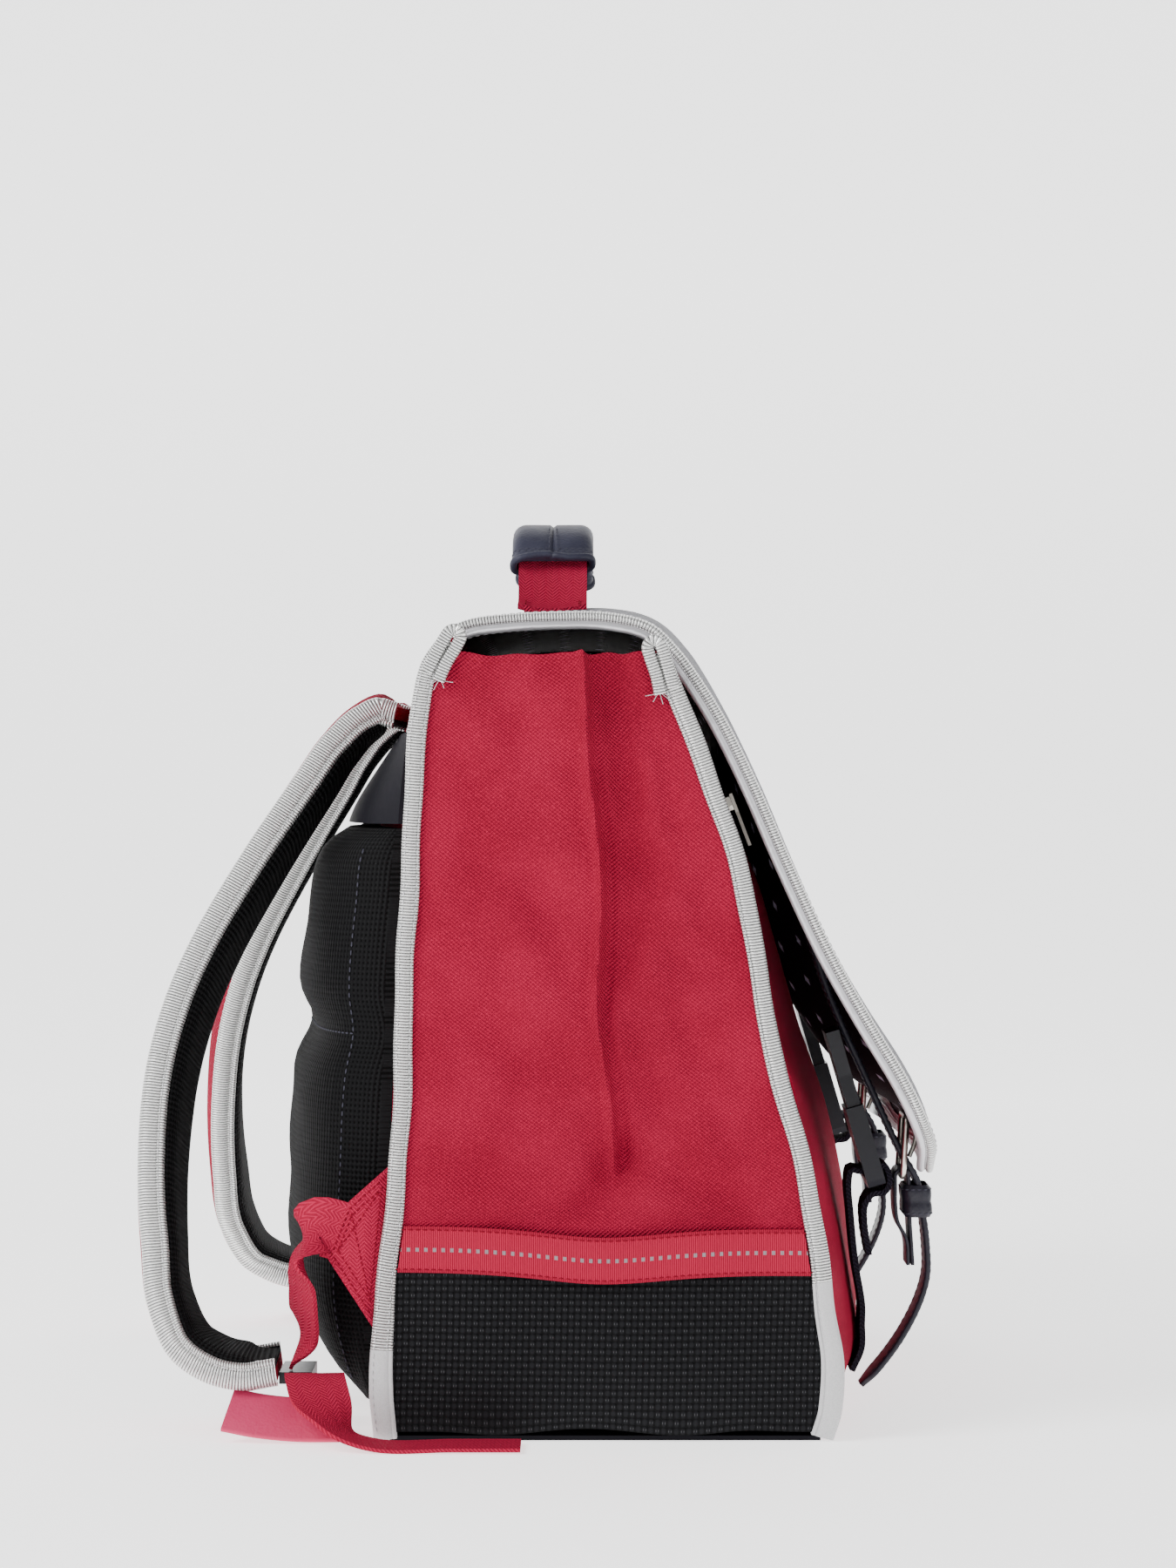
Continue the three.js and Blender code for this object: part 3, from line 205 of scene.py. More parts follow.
class RanselBack(bpy.types.PropertyGroup):
    swell: length("Swell", 0.024, "How far the back board bulges")
    pad_low: length("Pad low end", 0.014, "Height of the pads' low end")
    pad_top: length("Pad top", 0.258, "Height of the pads' top end")
    pad_thickness: length("Pad thickness", 0.031, "Thickness of a back pad")
    pad_gap: length("Pad gap", 0.010, "Gap between the two pads")
    pad_margin: length("Pad margin", 0.014, "Bare board outside a pad")
    yoke_low: length("Yoke low edge", 0.264, "Height of the yoke's low edge")
    flare: length("Yoke flare", 0.0115, "How far the yoke's low edge stands out over the pads")
    yoke_top: length("Yoke top edge", 0.299, "Height of the yoke's top edge")


class RanselFront(bpy.types.PropertyGroup):
    half: length("Pocket half width", 0.188, "Half the width of the front pocket")
    low: length("Pocket low edge", 0.014, "Height of the pocket's low edge")
    top: length("Pocket top edge", 0.262, "Height of the pocket's top edge")
    depth: length("Pocket depth", 0.020, "How far the pocket bulges")
    zip_height: length("Zip height", 0.012, "Height of the zip's tape")
    pull: length("Pull length", 0.024, "Length of the zip's pull")


class RanselFlap(bpy.types.PropertyGroup):
    half: length("Half width", 0.1985, "Half the width of the flap")
    corner: length("Corner", 0.038, "Radius of the flap's low corners")
    crown: length("Crown", 0.010, "How far the flap's middle stands above its edges")
    wall: length("Leather", 0.0015, "Thickness of the flap's outer leather")
    lining: length("Lining", 0.001, "Thickness of the flap's lining")
    sag: length("Sag", 0.018, "How far the flap sags in between the belts")
    loose: length("Loose lining", 0.007, "How far the lining hangs clear of the leather between the belts")
    tape: length("Tape width", 0.009, "Width of the flap's binding")


class RanselHandle(bpy.types.PropertyGroup):
    y: length("Place", 0.024, "Place of the handle towards the back")
    webbing: length("Webbing width", 0.031, "Width of the handle's webbing")
    wall: length("Webbing thickness", 0.0024, "Thickness of the handle's webbing")
    foot: length("Foot", 0.104, "End of the sewn foot from the middle")
    rise: length("Rise", 0.033, "Height of the handle above the flap")
    grip: length("Grip width", 0.037, "Width of the padded grip")
    grip_wall: length("Grip thickness", 0.0145, "Thickness of the padded grip")


class RanselStraps(bpy.types.PropertyGroup):
    width: length("Width", 0.06, "Width of a shoulder strap")
    wall: length("Wall", 0.0055, "Thickness of a strap's canvas body")
    crown: length("Crown", 0.0024, "Height of the canvas over its tapes")
    plump: length("Plump", 0.0022, "Extra height of the filled canvas")
    mesh: length("Mesh", 0.002, "Thickness of the strap's mesh at its edge")
    cushion: length("Cushion", 0.0052, "How far the padded mesh swells")
    edge: length("Tape width", 0.006, "Width of the strap's binding tape")
    root_x: length("Root place", 0.095, "Place of a strap's root from the middle")
    splay: length("Splay", 0.077, "How far a strap spreads from its root to its end")
    root_y: length("Root depth", 0.09, "Depth of a strap's root")
    root_z: length("Root height", 0.313, "Height of a strap's root")
    drop: length("Drop", 0.293, "Height that a strap falls")
    reach: length("Reach", 0.11, "How far a strap stands out behind the bag")
    webbing: length("Webbing width", 0.025, "Width of the adjusting webbing")
    webbing_wall: length("Webbing thickness", 0.0016, "Thickness of the adjusting webbing")
    pull: length("Pull tab width", 0.022, "Width of the smooth pull tab")


class RanselFastenings(bpy.types.PropertyGroup):
    x: length("Place", 0.130, "Place of the belts from the middle")
    belt: length("Belt width", 0.022, "Width of a leather belt")
    belt_wall: length("Belt thickness", 0.0024, "Thickness of a leather belt")
    tab_wall: length("Tab thickness", 0.0015, "Thickness of the doubled tab's leather")
    buckle: length("Buckle width", 0.030, "Width of a buckle")
    buckle_height: length("Buckle height", 0.029, "Height of a buckle")
    wire: length("Wire", 0.0028, "Thickness of the buckle's wire")
    webbing: length("Clip webbing", 0.0024, "Thickness of the clip's webbing")
    bevel: length("Bevel", 0.0007, "Rounding of the hard plastic and metal edges")


class RanselStage(bpy.types.PropertyGroup):
    camera: FloatVectorProperty(
        name="Camera", description="Place of the camera", default=(-1.875, 0.008, 0.277),
        subtype="XYZ", unit="LENGTH")
    lens: FloatProperty(name="Lens", description="Focal length in millimetres", default=91, min=10)
    key: FloatProperty(name="Key light", description="Power of the key light in watts", default=34, min=0)
    fill: FloatProperty(name="Fill light", description="Power of the fill light in watts", default=7, min=0)
    world: FloatProperty(name="World", description="Strength of the white surroundings", default=0.4, min=0)
    glow: FloatProperty(
        name="Backdrop glow", description="Light that the white backdrop gives of itself", default=1.5, min=0)


# Lines and surfaces


def vec(x, y, z):
    return np.array([x, y, z], dtype=float)


def unit(v):
    return v / np.linalg.norm(v)


def mix(a, b, t):
    return a + (b - a) * t


def ramp(x, low, high):
    """0 below low, 1 above high and smooth between."""
    t = min(1.0, max(0.0, (x - low) / (high - low)))
    return t * t * (3 - 2 * t)


def read(rows, at):
    """Value of the rows' second column where the first is at, on a smooth line through the rows."""
    last = len(rows) - 1
    i = 0
    while i < last - 1 and rows[i + 1][0] < at:
        i += 1

    def slope(k):
        a, b = rows[max(0, k - 1)], rows[min(last, k + 1)]
        return (b[1] - a[1]) / (b[0] - a[0])

    a, b = rows[i], rows[i + 1]
    span = b[0] - a[0]
    t = min(1.0, max(0.0, (at - a[0]) / span))
    t2, t3 = t * t, t * t * t
    value = a[1] * (2 * t3 - 3 * t2 + 1) + b[1] * (3 * t2 - 2 * t3)
    return value + span * (slope(i) * (t3 - 2 * t2 + t) + slope(i + 1) * (t3 - t2))


class Line:
    """A smooth line through points, read by its length."""

    def __init__(self, points, fine=40):
        p = [np.asarray(q, dtype=float) for q in points]
        p = [2 * p[0] - p[1], *p, 2 * p[-1] - p[-2]]
        out = []
        for k in range(1, len(p) - 2):
            d0, d1, d2 = (max(1e-6, np.linalg.norm(p[j + 1] - p[j]) ** 0.5) for j in (k - 1, k, k + 1))
            a, b, c, d = p[k - 1], p[k], p[k + 1], p[k + 2]
            t1 = ((b - a) / d0 - (c - a) / (d0 + d1) + (c - b) / d1) * d1
            t2 = ((c - b) / d1 - (d - b) / (d1 + d2) + (d - c) / d2) * d1
            for t in np.linspace(0, 1, fine, endpoint=False):
                out.append(b + t1 * t + (3 * (c - b) - 2 * t1 - t2) * t**2 + (2 * (b - c) + t1 + t2) * t**3)
        out.append(p[-2])
        self.points = np.array(out)
        steps = np.linalg.norm(np.diff(self.points, axis=0), axis=1)
        self.far = np.concatenate([[0.0], np.cumsum(steps)])
        self.length = self.far[-1]

    def at(self, s):
        return np.array([np.interp(s, self.far, self.points[:, k]) for k in range(3)])

    def along(self, s):
        h = self.length * 0.002
        return unit(self.at(min(self.length, s + h)) - self.at(max(0.0, s - h)))


def stations_along(points, step, side):
    """Stations (point, across, out) along a smooth line, with a side direction for each share of it."""
    line = Line(points)
    count = max(4, int(line.length / step))
    out = []
    for k in range(count + 1):
        t = k / count
        tangent = line.along(t * line.length)
        across = np.array(side(t), dtype=float)
        across = unit(across - tangent * across.dot(tangent))
        out.append((line.at(t * line.length), across, np.cross(tangent, across)))
    return out


def turned(stations, sign):
    """Stations whose outward direction is turned over."""
    return [(at, across, out * sign) for at, across, out in stations]


# Meshes


def finish_mesh(name, points, faces, uvs, kind, node="", smooth=50):
    """A closed mesh with a UV map in metres. It stands for the node in its name, another node or none."""
    mesh = bpy.data.meshes.new(name)
    mesh.from_pydata([tuple(p) for p in points], [], faces)
    layer = mesh.uv_layers.new(name="cloth")
    layer.data.foreach_set("uv", np.array(uvs, dtype=float).ravel())
    bm = bmesh.new()
    bm.from_mesh(mesh)
    bmesh.ops.recalc_face_normals(bm, faces=bm.faces)
    bm.to_mesh(mesh)
    bm.free()
    mesh.polygons.foreach_set("use_smooth", [True] * len(mesh.polygons))
    mesh.set_sharp_from_angle(angle=math.radians(smooth))
    mesh.materials.append(paint(kind))
    obj = bpy.data.objects.new(name, mesh)
    bpy.context.scene.collection.objects.link(obj)
    if len(mesh.polygons) == 0:
        raise RuntimeError(f"{name} has no faces")
    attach(obj, "root")
    if node is not None:
        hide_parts(node or name.rpartition("_")[0])
    return obj


def wall(name, rows, columns, front, back, kind, **more):
    """A closed wall between two faces that share a grid of rows and columns."""
    nr, nc = len(rows), len(columns)
    faces_at = [np.array([[face(r, c) for c in columns] for r in rows]) for face in (front, back)]
    middle = faces_at[0]
    along = np.cumsum(np.linalg.norm(np.diff(middle, axis=1), axis=2), axis=1)
    u = np.concatenate([np.zeros((nr, 1)), along], axis=1)
    u -= u[:, nc // 2 : nc // 2 + 1]
    step = np.linalg.norm(np.diff(middle[:, nc // 2], axis=0), axis=1)
    v = np.repeat(np.concatenate([[0.0], np.cumsum(step)])[:, None], nc, axis=1)
    uv = np.stack([u, v], axis=2)
    points = np.concatenate([f.reshape(-1, 3) for f in faces_at])
    uv_at = np.concatenate([uv.reshape(-1, 2)] * 2)
    faces = []

    def at(side, r, c):
        return side * nr * nc + r * nc + c

    for r in range(nr - 1):
        for c in range(nc - 1):
            faces.append((at(0, r, c), at(0, r, c + 1), at(0, r + 1, c + 1), at(0, r + 1, c)))
            faces.append((at(1, r, c), at(1, r + 1, c), at(1, r + 1, c + 1), at(1, r, c + 1)))
    for c in range(nc - 1):
        faces.append((at(0, 0, c), at(1, 0, c), at(1, 0, c + 1), at(0, 0, c + 1)))
        faces.append((at(0, nr - 1, c + 1), at(1, nr - 1, c + 1), at(1, nr - 1, c), at(0, nr - 1, c)))
    for r in range(nr - 1):
        faces.append((at(0, r + 1, 0), at(1, r + 1, 0), at(1, r, 0), at(0, r, 0)))
        faces.append((at(0, r, nc - 1), at(1, r, nc - 1), at(1, r + 1, nc - 1), at(0, r + 1, nc - 1)))
    uvs = [uv_at[i] for f in faces for i in f]
    return finish_mesh(name, points, faces, uvs, kind, **more)


def sweep(name, stations, outline, kind, closed=False, **more):
    """A section carried through stations. The outline may be a function of the share of the way."""
    count = len(stations)
    section = outline if callable(outline) else lambda t: outline
    rings = []
    for k, (at, across, out) in enumerate(stations):
        ring = np.array(section(k / (count - 1)))
        rings.append(at + ring[:, :1] * across + ring[:, 1:] * out)
    n = len(rings[0])
    first = np.array(section(0.5))
    round_it = np.linalg.norm(np.roll(first, -1, axis=0) - first, axis=1)
    u = np.concatenate([[0.0], np.cumsum(round_it)])
    steps = [np.linalg.norm(stations[k + 1][0] - stations[k][0]) for k in range(count - 1)]
    if closed:
        steps.append(np.linalg.norm(stations[0][0] - stations[-1][0]))
    v = np.concatenate([[0.0], np.cumsum(steps)])
    points = np.concatenate(rings)
    faces, uvs = [], []
    for k in range(count if closed else count - 1):
        for i in range(n):
            j = (i + 1) % n
            after = (k + 1) % count
            faces.append((k * n + i, k * n + j, after * n + j, after * n + i))
            uvs += [(u[i], v[k]), (u[i + 1], v[k]), (u[i + 1], v[k + 1]), (u[i], v[k + 1])]
    if not closed:
        for ring, place in ((0, 0.0), (count - 1, v[-1])):
            flat = section(0 if ring == 0 else 1)
            loop = [Vector((a, b, 0)) for a, b in flat]
            for a, b, c in tessellate_polygon([loop]):
                faces.append((ring * n + a, ring * n + b, ring * n + c))
                uvs += [(flat[k][0], place + flat[k][1]) for k in (a, b, c)]
    return finish_mesh(name, points, faces, uvs, kind, **more)


def sleeve(name, stations, outer, inner, kind, **more):
    """The space between two outlines with as many points, carried through stations."""
    count, n = len(stations), None
    outer_at = outer if callable(outer) else lambda t: outer
    inner_at = inner if callable(inner) else lambda t: inner
    points = []
    for k, (at, across, out) in enumerate(stations):
        ring = np.array([*outer_at(k / (count - 1)), *inner_at(k / (count - 1))])
        n = len(ring) // 2
        points.append(at + ring[:, :1] * across + ring[:, 1:] * out)
    first = np.array(outer_at(0.5))
    u = np.concatenate([[0.0], np.cumsum(np.linalg.norm(np.roll(first, -1, axis=0) - first, axis=1))])
    far = [np.linalg.norm(stations[k + 1][0] - stations[k][0]) for k in range(count - 1)]
    v = np.concatenate([[0.0], np.cumsum(far)])
    faces, uvs = [], []
    last = (count - 1) * 2 * n
    for i in range(n):
        j = (i + 1) % n
        for k in range(count - 1):
            a, b = k * 2 * n, (k + 1) * 2 * n
            corners = [(u[i], v[k]), (u[i + 1], v[k]), (u[i + 1], v[k + 1]), (u[i], v[k + 1])]
            faces.append((a + i, a + j, b + j, b + i))
            uvs += corners
            faces.append((a + n + j, a + n + i, b + n + i, b + n + j))
            uvs += [corners[1], corners[0], corners[3], corners[2]]
        for base, place, order in ((0, 0.0, (j, i, n + i, n + j)), (last, v[-1], (i, j, n + j, n + i))):
            faces.append(tuple(base + q for q in order))
            uvs += [(u[i], place)] * 4
    return finish_mesh(name, np.concatenate(points), faces, uvs, kind, **more)


# Outlines


def round_outline(w, h, r, fine=4):
    """A rectangle with rounded corners."""
    out = []
    x, y = w / 2 - r, h / 2 - r
    for cx, cy, start in ((x, -y, -90), (x, y, 0), (-x, y, 90), (-x, -y, 180)):
        for k in range(fine + 1):
            a = math.radians(start + 90 * k / fine)
            out.append((cx + r * math.cos(a), cy + r * math.sin(a)))
    return out


# The two faces of a folded tape between its fold and its cut edge: share of the width, lift in millimetres.
TAPE_FACE = [(0.94, 0.15), (0.88, 0.2), (0.82, -0.35), (0.76, 0.1), (0.62, 0.55), (0.48, 0.5)]


def tape_outline(width, slot, tape, split=None, fine=5):
    """A folded tape open towards +across, with a round fold or one of two lobes that part at a height."""
    h = slot / 2 + tape
    lip = h - tape * 0.3
    inside = h - tape
    out = [(width, -lip), (width, -inside), (tape, -inside), (tape, inside), (width, inside), (width, lip)]
    if split is None:
        face = [(width * a, h + b * MM) for a, b in TAPE_FACE]
    else:
        face = [(width * 0.9, h), (width * 0.5, h + 0.0002)]
    out += face
    if split is None:
        r = h * 0.9
        arc = [(r - r * math.sin(a), r * math.cos(a)) for a in np.linspace(0, math.pi, 2 * fine + 1)]
        out += [(a, b * h / r) for a, b in arc]
    else:
        part = h * split
        for high, low in ((h, part), (part, -h)):
            middle, half = (high + low) / 2, (high - low) / 2
            bulge = min(half, 0.0024)
            lobe = np.linspace(0.08, math.pi - 0.08, 2 * fine)
            out += [(bulge * (1 - math.sin(a)), middle + half * 0.985 * math.cos(a)) for a in lobe]
    return out + [(a, -b) for a, b in reversed(face)]


# Shader maths


class Value:
    """A number socket of a material that can be used in sums."""

    def __init__(self, paint, socket):
        self.paint = paint
        self.socket = socket

    def do(self, operation, other=None, third=None):
        node = self.paint.nodes.new("ShaderNodeMath")
        node.operation = operation
        self.paint.fill(node.inputs[0], self)
        if other is not None:
            self.paint.fill(node.inputs[1], other)
        if third is not None:
            self.paint.fill(node.inputs[2], third)
        return Value(self.paint, node.outputs[0])

    def flipped(self, operation, first):
        node = self.paint.nodes.new("ShaderNodeMath")
        node.operation = operation
        self.paint.fill(node.inputs[0], first)
        self.paint.fill(node.inputs[1], self)
        return Value(self.paint, node.outputs[0])

    def sin(self):
        return self.do("SINE")

    def abs(self):
        return self.do("ABSOLUTE")

    def fract(self):
        return self.do("FRACT")

    def step(self, low, high):
        """0 below low and 1 above high."""
        smooth, limits = {"interpolation_type": "SMOOTHSTEP"}, {"From Min": low, "From Max": high}
        return self.paint.node("ShaderNodeMapRange", smooth, Value=self, **limits)

    def wave(self, pitch):
        """A sine with one period for each pitch."""
        return (self * (2 * math.pi / pitch)).sin()


def sums(name, operation):
    """Gives Value the operator with this name, and the reflected one."""
    setattr(Value, f"__{name}__", lambda self, other: self.do(operation, other))
    setattr(Value, f"__r{name}__", lambda self, other: self.flipped(operation, other))


SUMS = {"add": "ADD", "sub": "SUBTRACT", "mul": "MULTIPLY", "truediv": "DIVIDE"}
for operator_name, node_operation in SUMS.items():
    sums(operator_name, node_operation)


class Paint:
    """A procedural material on the piece's own UV map, in metres."""

    def __init__(self, name, rough, metallic=0.0):
        self.material = bpy.data.materials.new(name)
        self.material.use_nodes = True
        self.nodes = self.material.node_tree.nodes
        self.links = self.material.node_tree.links
        self.shader = self.nodes["Principled BSDF"]
        self.shader.inputs["Roughness"].default_value = rough
        self.shader.inputs["Metallic"].default_value = metallic
        self.shader.inputs["Specular IOR Level"].default_value = 0.08 if rough > 0.55 else 0.3
        uv = self.node("ShaderNodeUVMap", {"uv_map": "cloth"})
        split = self.nodes.new("ShaderNodeSeparateXYZ")
        self.fill(split.inputs[0], uv)
        self.x, self.y = (Value(self, split.outputs[k]) for k in (0, 1))

    def fill(self, socket, value):
        if isinstance(value, Value):
            self.links.new(value.socket, socket)
        else:
            socket.default_value = value

    def node(self, kind, settings=None, output=0, **sockets):
        node = self.nodes.new(kind)
        for key, value in (settings or {}).items():
            setattr(node, key, value)
        for key, value in sockets.items():
            self.fill(node.inputs[key], value)
        return Value(self, node.outputs[output])

    def noise(self, scale, detail=3.0, rough=0.55):
        place = self.nodes.new("ShaderNodeTexCoord")
        node = self.nodes.new("ShaderNodeTexNoise")
        self.links.new(place.outputs["Object"], node.inputs["Vector"])
        node.inputs["Scale"].default_value = scale
        node.inputs["Detail"].default_value = detail
        node.inputs["Roughness"].default_value = rough
        return Value(self, node.outputs["Fac"])

    def blend(self, share, a, b):
        """Colour a where share is 0 and b where it is 1."""
        node = self.nodes.new("ShaderNodeMix")
        node.data_type = "RGBA"
        self.fill(node.inputs["Factor"], share)
        for socket, colour in ((node.inputs[6], a), (node.inputs[7], b)):
            self.fill(socket, colour if isinstance(colour, Value) else (*colour, 1.0))
        return Value(self, node.outputs[2])

    def colour(self, value):
        socket = self.shader.inputs["Base Color"]
        self.fill(socket, value if isinstance(value, Value) else (*value, 1.0))

    def rough(self, value):
        self.fill(self.shader.inputs["Roughness"], value)

    def bump(self, height, distance, strength=1.0):
        node = self.nodes.new("ShaderNodeBump")
        node.inputs["Strength"].default_value = strength
        node.inputs["Distance"].default_value = distance
        self.fill(node.inputs["Height"], height)
        self.links.new(node.outputs[0], self.shader.inputs["Normal"])

    def sheen(self, weight, tint):
        self.shader.inputs["Sheen Weight"].default_value = weight
        self.shader.inputs["Sheen Tint"].default_value = (*tint, 1.0)


def canvas_paint(name, base, dark):
    """Plain-woven canvas, a little uneven in its colour, with painted highlight and shade on its threads."""
    p = Paint(name, 0.82)
    weave = p.x.wave(0.0021) * p.y.wave(0.0017)
    cloud = p.noise(26, 4).step(0.3, 0.75)
    fleck = p.noise(900, 2).step(0.45, 0.75)
    tone = p.blend(cloud, dark, base)
    # Painted highlight on the tops of the threads; the dark colour below is painted shade between them.
    lit = tuple(min(1.0, c * 1.9) for c in base)
    thread = p.blend(weave.step(-0.7, 0.9) * 0.5 + fleck * 0.3, (0.2, 0.003, 0.016), lit)
    p.colour(p.blend(0.5, tone, thread))
    p.bump(weave * 1.5 + p.noise(38, 3) * 6.0 + p.noise(1400, 1) * 0.8, 0.0003, 1.0)
    return p.material


def ribbed_paint(
    name, base, dark, pitch, rough=0.5, depth=0.00035, metallic=0.0, fleck=0.2, smooth_from=None
):
    """Tape with ribs across its length, painted shade in their grooves, and smooth from one line of its
    section on past a painted shadow line.
    """
    p = Paint(name, rough, metallic)
    rib = (p.y * (math.pi / pitch)).sin().abs()
    grain = p.noise(1500, 2).step(0.35, 0.7)
    # The grooves between the ribs take the dark colour: painted shade.
    tone = p.blend(rib.step(0.05, 0.7) * (1 - fleck) + grain * fleck, dark, base)
    height = rib
    if smooth_from is not None:
        smooth = p.x.step(smooth_from - 0.0001, smooth_from + 0.0002)
        # Painted shadow line in the groove where the ribbed part meets the smooth part.
        painted_shadow_line = 1 - (p.x - smooth_from).abs().step(0.00015, 0.0006)
        tone = p.blend(smooth, tone, (0.62, 0.61, 0.64))
        tone = p.blend(painted_shadow_line * 0.8, tone, (0.12, 0.05, 0.07))
        height = rib * (1 - smooth)
    p.colour(tone)
    p.bump(height + p.noise(160, 3) * 0.8, depth, 0.9)
    return p.material


def smooth_tape_paint(name, base, dark):
    """Smooth grey-white reflective film on cloth."""
    p = Paint(name, 0.46, 0.1)
    grain = p.noise(2200, 2)
    p.colour(p.blend(grain.step(0.3, 0.7) * 0.6 + p.noise(60, 3) * 0.4, dark, base))
    p.bump(grain + p.noise(120, 3) * 3, 0.00014, 0.7)
    return p.material


def webbing_paint(name, base, dark, pitch=0.0024):
    """Webbing in a herringbone twill."""
    p = Paint(name, 0.8)
    zig = (p.x / 0.0062).fract() - 0.5
    slant = ((zig.abs() * 0.0062 + p.y) * (2 * math.pi / pitch)).sin()
    grain = p.noise(1300, 2)
    p.colour(p.blend(slant.step(-0.8, 0.8) * 0.55 + grain * 0.45, dark, base))
    p.bump(slant + grain * 1.2, 0.0003, 0.9)
    p.sheen(0.06, base)
    return p.material


def basket_paint(name):
    """Coarse black basket weave with a pair of light threads on each crossing."""
    p = Paint(name, 0.62)
    px, py = 0.00268, 0.00293
    cell_x = (p.x / px).fract() - 0.5
    cell_y = (p.y / py).fract() - 0.5
    turn = ((p.x / px).do("FLOOR") + (p.y / py).do("FLOOR")).do("MODULO", 2.0).abs()
    over = 1 - (cell_x * cell_x + cell_y * cell_y) * 2.6
    bars = ((cell_x.abs() - 0.2).abs() * -9 + 1).do("MAXIMUM", 0.0)
    pair = bars * (1 - cell_y.abs() * 3.2).do("MAXIMUM", 0.0)
    light = pair * turn
    base = p.blend(over.step(0.2, 1.0), (0.0018, 0.0018, 0.0022), (0.0105, 0.0105, 0.0122))
    p.colour(p.blend(light.step(0.15, 0.9) * 0.9, base, (0.075, 0.075, 0.08)))
    p.bump(over * (0.5 + turn * 0.8) + p.noise(800, 2) * 0.3, 0.0006, 0.9)
    return p.material


def mesh_paint(name, pitch=0.0024):
    """Black spacer mesh with round holes."""
    p = Paint(name, 0.78)
    dots = p.x.wave(pitch) + (p.y.wave(pitch))
    hole = dots.step(0.55, 1.5)
    p.colour(p.blend(hole, (0.0085, 0.0085, 0.0092), (0.0008, 0.0008, 0.0008)))
    p.bump(dots * -1 + p.noise(700, 2) * 0.5, 0.00045, 0.9)
    return p.material


def leather_paint(name, base, light, rough=0.42):
    """Smooth leather with a fine grain."""
    p = Paint(name, rough)
    pebble = p.node("ShaderNodeTexVoronoi", {"feature": "SMOOTH_F1"}, Vector=object_place(p), Scale=900.0)
    cloud = p.noise(40, 4)
    p.colour(p.blend(cloud.step(0.3, 0.75), base, light))
    p.rough(rough + p.noise(120, 3) * 0.18)
    p.bump(pebble + p.noise(90, 4) * 2.5, 0.00022, 0.6)
    return p.material


def object_place(paint):
    return paint.node("ShaderNodeTexCoord", output=3)


def lining_paint(name):
    """Near-black lining cloth with small pale lozenges, far apart."""
    p = Paint(name, 0.7)
    pitch = 0.019
    row = (p.y / pitch).do("FLOOR")
    along = ((p.x + row * pitch * 0.382) / pitch).fract() - 0.5
    up = (p.y / pitch).fract() - 0.5
    lozenge = 1 - (along.abs() * 1.9 + up.abs()).step(0.15, 0.175)
    p.colour(p.blend(lozenge, (0.007, 0.004, 0.007), (0.5, 0.46, 0.6)))
    weave = p.x.wave(0.0007) * p.y.wave(0.0007)
    p.bump(weave, 0.0001, 0.6)
    return p.material


def hard_paint(name, base, rough, metallic=0.0, scratch=0.12):
    """Plastic or metal with faint wear."""
    p = Paint(name, rough, metallic)
    p.colour(base)
    p.rough(rough + p.noise(300, 3) * scratch)
    p.bump(p.noise(700, 3), 0.00005, 0.5)
    return p.material


def ticked_ribbon_paint(name, base, dark, pitch, tick):
    """Red grosgrain with a line of grey ticks along its middle."""
    p = Paint(name, 0.7)
    rib = (p.x * (math.pi / 0.0009)).sin().abs()
    along = ((p.x / pitch).fract() - 0.5).abs() * pitch
    mark = (1 - along.step(tick * 0.45, tick * 0.62)) * (1 - (p.y - 0.00975).abs().step(0.0007, 0.001))
    edge = (p.y - 0.00975).abs().step(0.0081, 0.0086)
    tone = p.blend(rib.step(0.15, 0.8) * 0.7 + p.noise(1200, 2) * 0.3, dark, base)
    p.colour(p.blend(mark * 0.9, p.blend(edge * 0.35, tone, dark), (0.27, 0.24, 0.26)))
    p.bump(rib + mark * 0.7, 0.0003, 0.8)
    return p.material


def make_paints():
    """All the materials, made once."""
    if "ransel_canvas" in bpy.data.materials:
        return
    canvas_paint("ransel_canvas", (0.42, 0.013, 0.05), (0.25, 0.006, 0.025))
    ribbed_paint("ransel_silver", *SILVER)
    smooth_tape_paint("ransel_film", (0.66, 0.655, 0.66), (0.5, 0.495, 0.505))
    webbing_paint("ransel_webbing", (0.58, 0.022, 0.078), (0.27, 0.006, 0.026), 0.0017)
    webbing_paint("ransel_dark_webbing", (0.022, 0.018, 0.03), (0.005, 0.004, 0.007), 0.0018)
    ticked_ribbon_paint("ransel_ribbon", (0.5, 0.016, 0.056), (0.17, 0.003, 0.014), 0.00367, 0.0014)
    basket_paint("ransel_basket")
    mesh_paint("ransel_mesh")
    leather_paint("ransel_leather", (0.018, 0.0185, 0.036), (0.034, 0.035, 0.06))
    leather_paint("ransel_belt", (0.0095, 0.009, 0.017), (0.018, 0.017, 0.028), 0.33)
    leather_paint("ransel_pink", (0.5, 0.028, 0.1), (0.56, 0.036, 0.115), 0.4)
    lining_paint("ransel_lining")
    hard_paint("ransel_plastic", (0.0065, 0.0065, 0.012), 0.26)
    hard_paint("ransel_metal", (0.78, 0.74, 0.66), 0.24, 1.0)
    hard_paint("ransel_yoke", (0.009, 0.0085, 0.012), 0.6)
    hard_paint("ransel_thread_red", (0.2, 0.004, 0.016), 0.7)
    hard_paint("ransel_thread_white", (0.62, 0.61, 0.63), 0.6)
    hard_paint("ransel_thread_dark", (0.06, 0.06, 0.08), 0.6)
    hard_paint("ransel_floor", (0.95, 0.95, 0.95), 0.9)


def paint(name):
    return bpy.data.materials["ransel_" + name]


# Stitches


